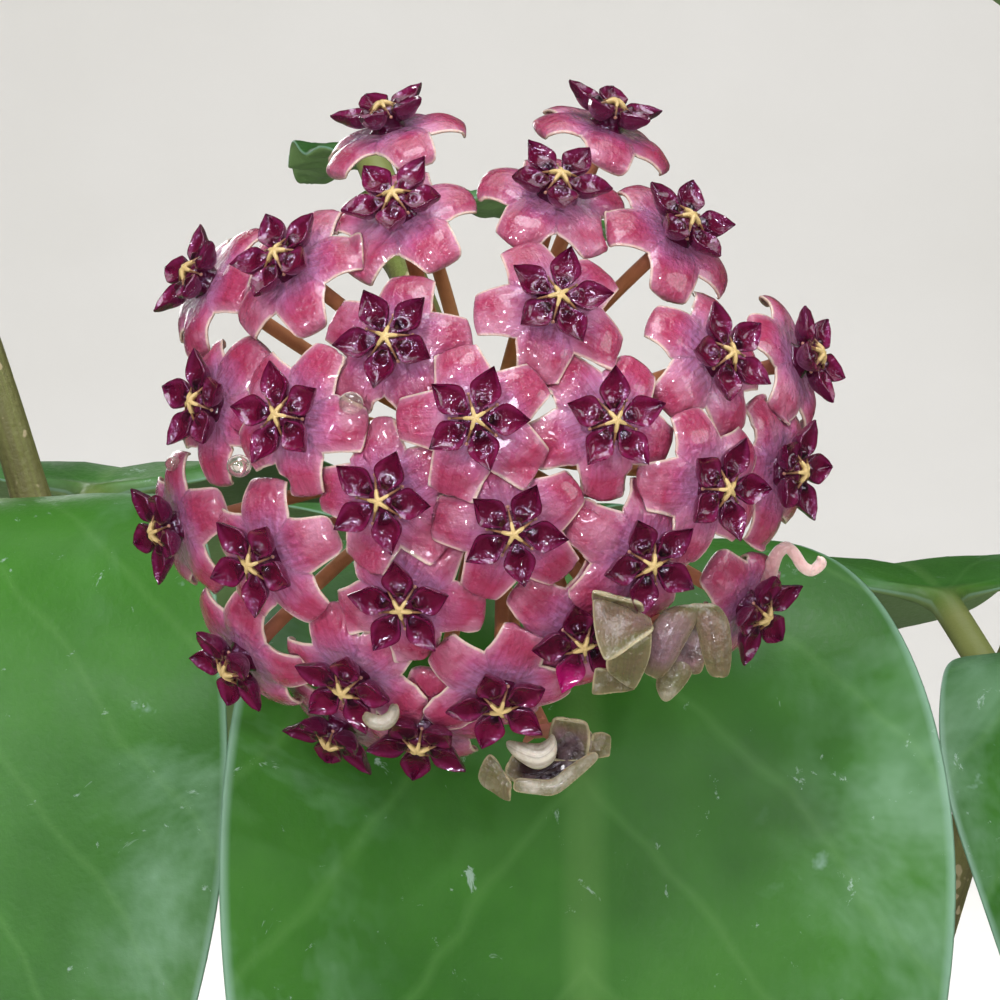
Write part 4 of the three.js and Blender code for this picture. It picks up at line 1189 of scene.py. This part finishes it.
cuppedBloom = {"place": (6.2, -31.3, 36.8), "stalk": (6.2, -31.3, 36.6), "lobes": [
    [(-3.6, 0.2, -0.3, 1.5, 60, 0.3, 0.3), (-1.4, -0.6, -0.9, 1.9, 85, 0.5, 0.3),
     (1.2, 0.2, -1.2, 2.4, 95, 0.5, 0.3), (3.2, 1.4, -1.0, 2.0, 100, 0.3, 0.33),
     (4.6, 1.9, -0.6, 1.2, 100, 0, 0.5)],
    [(1.9, 0.2, -1.5, 2.0, 0, 0.8, 0.3), (2.1, 1.8, -1.3, 2.0, 0, 0.9, 0.34),
     (2.2, 3.2, -0.8, 1.9, -6, 0.6, 0.55), (2.2, 4.2, -0.2, 1.6, -8, 0.3, 0.84)],
    [(4.2, 1.6, -0.6, 1.3, 80, 0.2, 0.7), (5.2, 1.7, -0.4, 1.25, 84, 0, 0.8),
     (6.1, 1.6, -0.6, 1.0, 88, 0, 0.86)],
    [(-3.9, 1.9, 0.6, 0.3, 90, 0, 0.97), (-2.6, 1.2, 1.2, 0.8, 80, -0.4, 1),
     (-0.9, 0.7, 1.6, 1.2, 84, -0.6, 1), (0.3, 1.3, 1.5, 1.1, 100, -0.5, 1),
     (0.7, 2.5, 0.9, 0.5, 110, 0, 0.96)],
    [(-4.3, -0.6, 0.5, 1.9, -57, 0.2, 0.95), (-4.7, -1.1, 0.7, 2.0, -52, 0, 0.8),
     (-5.0, -2.2, 0.4, 1.9, -36, -0.2, 0.8), (-4.9, -2.9, 0, 1.6, -31, 0, 0.88)],
    [(-3.2, -2.0, 0.7, 0.7, 80, 0, 0.84), (-1.2, -2.2, 1.0, 0.7, 88, -0.2, 0.86),
     (0.6, -2.2, 1.1, 0.75, 100, -0.2, 0.84), (2.4, -0.9, 0.9, 0.7, 120, -0.2, 0.86),
     (4.8, 0.9, 0.3, 0.5, 125, 0, 0.9)],
]}
fadingBlooms = [shutBloom, hangingBloom, cuppedBloom]
# Lobes of open blooms that have curled into a narrow roll: one is S-shaped and pink, one a cream crescent
curledLobes = {
    "pink": ((30.5, -11.2, 35.6), [
        (-2.4, -3.2, -0.4, 0.9, 0, 0, 0.6), (-2.0, -1.2, 0, 0.72, -12, -0.3, 0.7),
        (-1.3, 0.7, 0.5, 0.55, -30, -0.3, 0.8), (-0.4, 1.4, 0.7, 0.5, -82, -0.3, 0.88),
        (0.4, 0.8, 0.7, 0.48, -140, -0.3, 0.84), (1.2, -0.4, 0.5, 0.48, -146, -0.3, 0.9),
        (2.1, -0.8, 0.3, 0.5, -100, -0.3, 0.96), (3.0, -0.1, 0.3, 0.46, -40, -0.3, 1),
        (2.9, 0.5, 0.4, 0.3, -10, -0.2, 1),
    ]),
    "cream": ((-10.5, -26.6, 36.6), [
        (-1.5, 0.1, -0.3, 0.3, 60, -0.2, 0.9), (-0.7, -0.5, 0.3, 0.6, 75, -0.4, 1),
        (0.4, -0.6, 0.5, 0.7, 118, -0.4, 1), (1.2, 0.1, 0.5, 0.55, 150, -0.3, 1),
        (1.4, 1.1, 0.1, 0.3, 175, -0.1, 0.9),
    ]),
}


# Weights that carry a smooth curve (Catmull-Rom) through evenly spaced values, at shares of its length
def blendWeights(count, shares):
    where = shares * (count - 1)
    cell = np.minimum(where.astype(int), count - 2)
    t = where - cell
    basis = np.stack([-t + 2 * t**2 - t**3, 2 - 5 * t**2 + 3 * t**3,
                      t + 4 * t**2 - 3 * t**3, t**3 - t**2], -1) / 2
    weights = np.zeros((len(shares), count + 2))
    np.add.at(weights, (np.arange(len(shares))[:, None], cell[:, None] + np.arange(4)), basis)
    inner = weights[:, 1:-1].copy()
    inner[:, :2] += weights[:, :1] * (2, -1)
    inner[:, -2:] += weights[:, -1:] * (-1, 2)
    return inner


# A skin with its faces turned outwards, by the sign of its volume
def outward(part):
    points, quads, tris, marks = part
    corners = np.concatenate([tris, quads[:, :3], quads[:, [0, 2, 3]]])
    a, b, c = (points[corners[:, i]] for i in range(3))
    if np.einsum("ij,ij->", a, np.cross(b, c)) < 0:
        quads, tris = quads[:, ::-1], tris[:, ::-1]
    return points, quads, tris, marks


# One fading lobe: its middle surface is place + v x half width along the slant + cupping x v^2 forward,
# wrinkled by short waves, then thickened to thin rounded margins
def fadedLobe(stations, tone):
    rows, cols = fading["rows"], fading["cols"]
    shares = 0.5 - 0.5 * np.cos(np.linspace(0, np.pi, rows))
    spine = blendWeights(len(stations), shares) @ np.array(stations, float)
    place, (half, slant, cup, shade) = spine[:, None, :3], spine[:, 3:].T[..., None]
    v = -np.cos(np.linspace(0, np.pi, cols))
    share = shares[:, None]
    half = half * (0.12 + 0.88 * shoulders(2 * share - 1, fading["square"]))
    slant = np.radians(slant)
    across = np.stack([np.cos(slant), np.sin(slant), 0 * slant], -1)
    wrinkle = fading["wrinkle"] * np.sin(2.6 * v * half + 9 * tone) * np.sin(7 * share + 5 * tone)
    forward = (cup * v**2 + wrinkle)[..., None] * (0, 0, 1)
    middle = place + (v * half)[..., None] * across + forward
    normal = unit(np.cross(np.gradient(middle, axis=0), np.gradient(middle, axis=1)))
    rounded = shoulders(v, 5) * shoulders(2 * share - 1, 14)
    lift = (fading["thick"] / 2 * (0.15 + 0.85 * rounded))[..., None] * normal
    rings = np.concatenate([middle + lift, (middle - lift)[:, ::-1]], axis=1)
    length = np.linalg.norm(np.diff(spine[:, :3], axis=0), axis=1).sum()
    margin = np.minimum((1 - np.abs(v)) * half, (1 - np.abs(2 * share - 1)) * length / 2)
    marks = marksOf(margin.shape, shade, margin + 0.05, v * half, tone)
    marks = np.concatenate([marks, marks[:, ::-1]], axis=1)
    return outward(skin(middle[0].mean(0), rings, middle[-1].mean(0), marks))


# Lobes in their places: right, up and forward in the picture become +X, +Z and -Y about their bloom
def placedLobes(place, lobes):
    toView = np.array([(1, 0, 0), (0, 0, 1), (0, -1, 0)])
    parts = [fadedLobe(lobe, (0.37 * n + 0.2) % 1) for n, lobe in enumerate(lobes)]
    return [moved(part, lambda p: p @ toView + bloomCentre(*place)) for part in parts]


# Nectar: flattened clear drops on the petals, each right of and above the apex, and its radius
nectar = [(-13.4, 4.7, 1.2), (-24.6, -1.6, 1.2), (-31.2, -1.4, 0.8)]


def makeNectar(grids):
    surface = np.concatenate([grid.reshape(-1, 3) for grid in grids])
    drops = []
    for right, up, radius in nectar:
        near, far = bloomCentre(right, up, 40), bloomCentre(right, up, 30)
        sight = (far - near) / np.linalg.norm(far - near)
        away = surface - near
        depth = away @ sight
        close = np.linalg.norm(away - depth[:, None] * sight, axis=1) < 0.6 * radius
        spot = near + sight * ((depth[close].min() if close.any() else 5.0) - 0.5 * radius)
        flat = (radius, 0.75 * radius, 0.9 * radius)
        drops.append(moved(pebble(11, 22), lambda p: p * flat + spot))
    clear = Finish("nectarDrops", Roughness=0.02, IOR=1.42, Transmission_Weight=0.92, Coat_Weight=1.0)
    clear.colour(clear.mix(clear.noise(300), "f4e6d8", "fff6ec"))
    addPiece("nectar_drops", drops, clear.material, None)


# Flower stalk: a tube from the stem node to the apex, ending in a knob that is ringed with old scars
def makeStalk(material):
    place = leaves[0][1]
    heading = np.radians(umbel["stalkHeading"])
    away = np.array([np.sin(heading), -np.cos(heading), 0.0])
    off = stemRadius(0, [place])[0] + 0.8 * umbel["stalkRadius"] + mix["gap"]
    start = alongSpline(stemSplines[0], [place])[0][0] + off * away + (0, 0, 2 * umbel["stalkRadius"])
    spline = splineThrough([start, (start + apex) / 2 + (-1.5, 0, 4), apex])
    shares = np.linspace(0, 1, 90)
    centres, ahead = alongSpline(spline, shares)
    base = 0.35 * smooth((0.08 - shares) / 0.08)
    radii = umbel["stalkRadius"] * (1 + base + 0.25 * smooth((shares - 0.9) / 0.1))
    rings = tubeRings(centres, ahead, radii, 24)
    marks = marksOf(rings.shape[:2], 0.1 + 0.2 * shares[:, None], 0.0, 0.0, 0.4)
    parts = [skin(centres[0], rings, centres[-1], marks)]
    lean = np.linspace(0.06, np.pi - 0.06, 40)[:, None]
    angle = fullTurn(56)
    scars = 0.14 * np.sin(11 * lean) * np.sin(9 * angle + 3.5 * np.round(11 * lean / np.pi))
    r = umbel["knobRadius"] * (1 + scars)
    ball = turned(r * np.sin(lean), angle, r * np.cos(lean)) + apex
    marks = marksOf(ball.shape[:2], 0.2 + 0 * lean, 0.0, 0.0, 0.7)
    parts.append(skin(apex + (0, 0, umbel["knobRadius"]), ball, apex - (0, 0, umbel["knobRadius"]), marks))
    addPiece("flower_stalk", parts, material, "petal")


# Build

makePot()
makeMix()
makeLitter()
makeStems()
leafMaterial = leafFinish()
for number, leaf in enumerate(leaves, 1):
    makeLeaf(number, leaf, leafMaterial)
print("leaves made")
makeBlooms()


# Stage: a pale sheet that rises far behind on every side, soft lamps and the photograph's camera

stage = {"middle": 20, "floorRadius": 3300, "riseRadius": 1700, "steps": 20, "cols": 96}


def makeStage():
    lean = np.linspace(0, np.pi / 2, stage["steps"])[1:]
    flat = np.linspace(stage["middle"], stage["floorRadius"], stage["steps"])
    r = np.concatenate([flat, stage["floorRadius"] + stage["riseRadius"] * np.sin(lean)])[:, None]
    z = np.concatenate([0 * flat, stage["riseRadius"] * (1 - np.cos(lean))])[:, None]
    points, quads, fans, _ = skin((0, 0, 0), turned(r, fullTurn(stage["cols"]), z), (0, 0, 0))
    points, fan = points[:-1] * metre, fans[:stage["cols"]]          # open at its edge
    mesh = bpy.data.meshes.new("pale_floor")
    mesh.from_pydata(points.tolist(), [], quads.tolist() + fan.tolist())
    mesh.polygons.foreach_set("use_smooth", np.ones(len(mesh.polygons), bool))
    paper = Finish("palePaper", Specular_IOR_Level=0.2, Roughness=0.9)
    paper.colour(paper.ramp(paper.noise(3, 2), (0.3, "e4e2dd"), (0.7, "e9e7e3")))
    mesh.materials.append(paper.material)
    floor = bpy.data.objects.new("pale_floor", mesh)
    bpy.context.scene.collection.objects.link(floor)
    floor.visible_glossy = False          # so that the gloss shows lamps, and no grey veil
    floor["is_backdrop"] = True


# Each lamp: place and the point that it faces (metres), size, power (W), colour. The last five light the
# stage: a wide soft one over it, and one on the sheet at each side.
lamps = {
    "window": ((-0.26, -1.0, 0.74), (0, -0.12, 0.28), 0.1, 3.0, (0.98, 0.97, 1.0)),
    "front": ((0.03, -1.05, 0.42), (0, -0.12, 0.29), 0.14, 1.5, (0.9, 0.86, 1.0)),
    "leftSpark": ((-0.62, -0.8, 0.4), (0, -0.12, 0.29), 0.035, 1.2, (0.86, 0.82, 1.0)),
    "rightSpark": ((0.5, -0.85, 0.66), (0, -0.12, 0.29), 0.035, 1.2, (0.9, 0.84, 1.0)),
    "highSpark": ((-0.12, -0.78, 0.98), (0, -0.12, 0.29), 0.035, 0.9, (0.86, 0.82, 1.0)),
    "wideSpark": ((-0.5, -0.9, 0.66), (0, -0.12, 0.29), 0.035, 0.9, (0.88, 0.84, 1.0)),
    "lowSpark": ((-0.08, -0.9, 0.08), (0, -0.12, 0.28), 0.035, 0.6, (1.0, 0.95, 1.0)),
    "rightFill": ((1.0, -0.5, 0.6), (0, -0.05, 0.25), 0.5, 2.6, (0.96, 0.98, 1.0)),
    "above": ((0.05, -0.55, 1.2), (0, -0.1, 0.28), 0.5, 5.4, (0.92, 0.92, 1.0)),
    "behind": ((-0.5, 1.3, 0.7), (0, 0, 0.25), 0.6, 4.0, (1.0, 1.0, 1.0)),
    "ceiling": ((0, 0.3, 3.3), (0, 0.3, 0), 3.0, 32.0, (1.0, 1.0, 1.0)),
    "backdrop": ((0, 1.9, 1.9), (0, 3.9, 0.4), 0.8, 60.0, (1.0, 1.0, 1.0)),
    "leftSheet": ((-1.9, 0, 1.9), (-3.9, 0, 0.5), 0.8, 38.0, (1.0, 1.0, 1.0)),
    "rightSheet": ((1.9, 0, 1.9), (3.9, 0, 0.5), 0.8, 38.0, (1.0, 1.0, 1.0)),
    "frontSheet": ((0, -1.9, 1.9), (0, -3.9, 0.5), 0.8, 20.0, (1.0, 1.0, 1.0)),
}
room = {"colour": (0.93, 0.96, 1.0, 1), "strength": 0.06}


def makeLamps():
    for name, (place, target, size, power, colour) in lamps.items():
        light = bpy.data.lights.new(name, "AREA")
        light.shape, light.size, light.energy, light.color = "DISK", size, power, colour
        lamp = bpy.data.objects.new(name, light)
        lamp.location = place
        lamp.rotation_euler = (Vector(target) - Vector(place)).to_track_quat("-Z", "Y").to_euler()
        lamp.visible_camera = False
        bpy.context.scene.collection.objects.link(lamp)
    world = bpy.data.worlds.new("paleRoom")
    world.use_nodes = True
    light = world.node_tree.nodes["Background"]
    light.inputs["Color"].default_value = room["colour"]
    light.inputs["Strength"].default_value = room["strength"]
    bpy.context.scene.world = world


def makeCamera():
    data = bpy.data.cameras.new("photoView")
    data.sensor_width = viewer["sensor"]
    data.lens = viewer["sensor"] * viewer["zoom"]          # 4600 pixels to the radian in a 1000-pixel frame
    data.clip_start, data.clip_end = 0.01, 30
    camera = bpy.data.objects.new("photoView", data)
    camera.location = eye * metre
    camera.rotation_euler = (np.pi / 2, 0, 0)
    bpy.context.scene.collection.objects.link(camera)
    bpy.context.scene.camera = camera


makeStage()
makeLamps()
makeCamera()
bpy.context.scene.view_settings.view_transform = "Standard"

corners = lambda box: [list(corner) for corner in box]
{"cad": corners(cadBox), "visual": corners(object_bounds())}
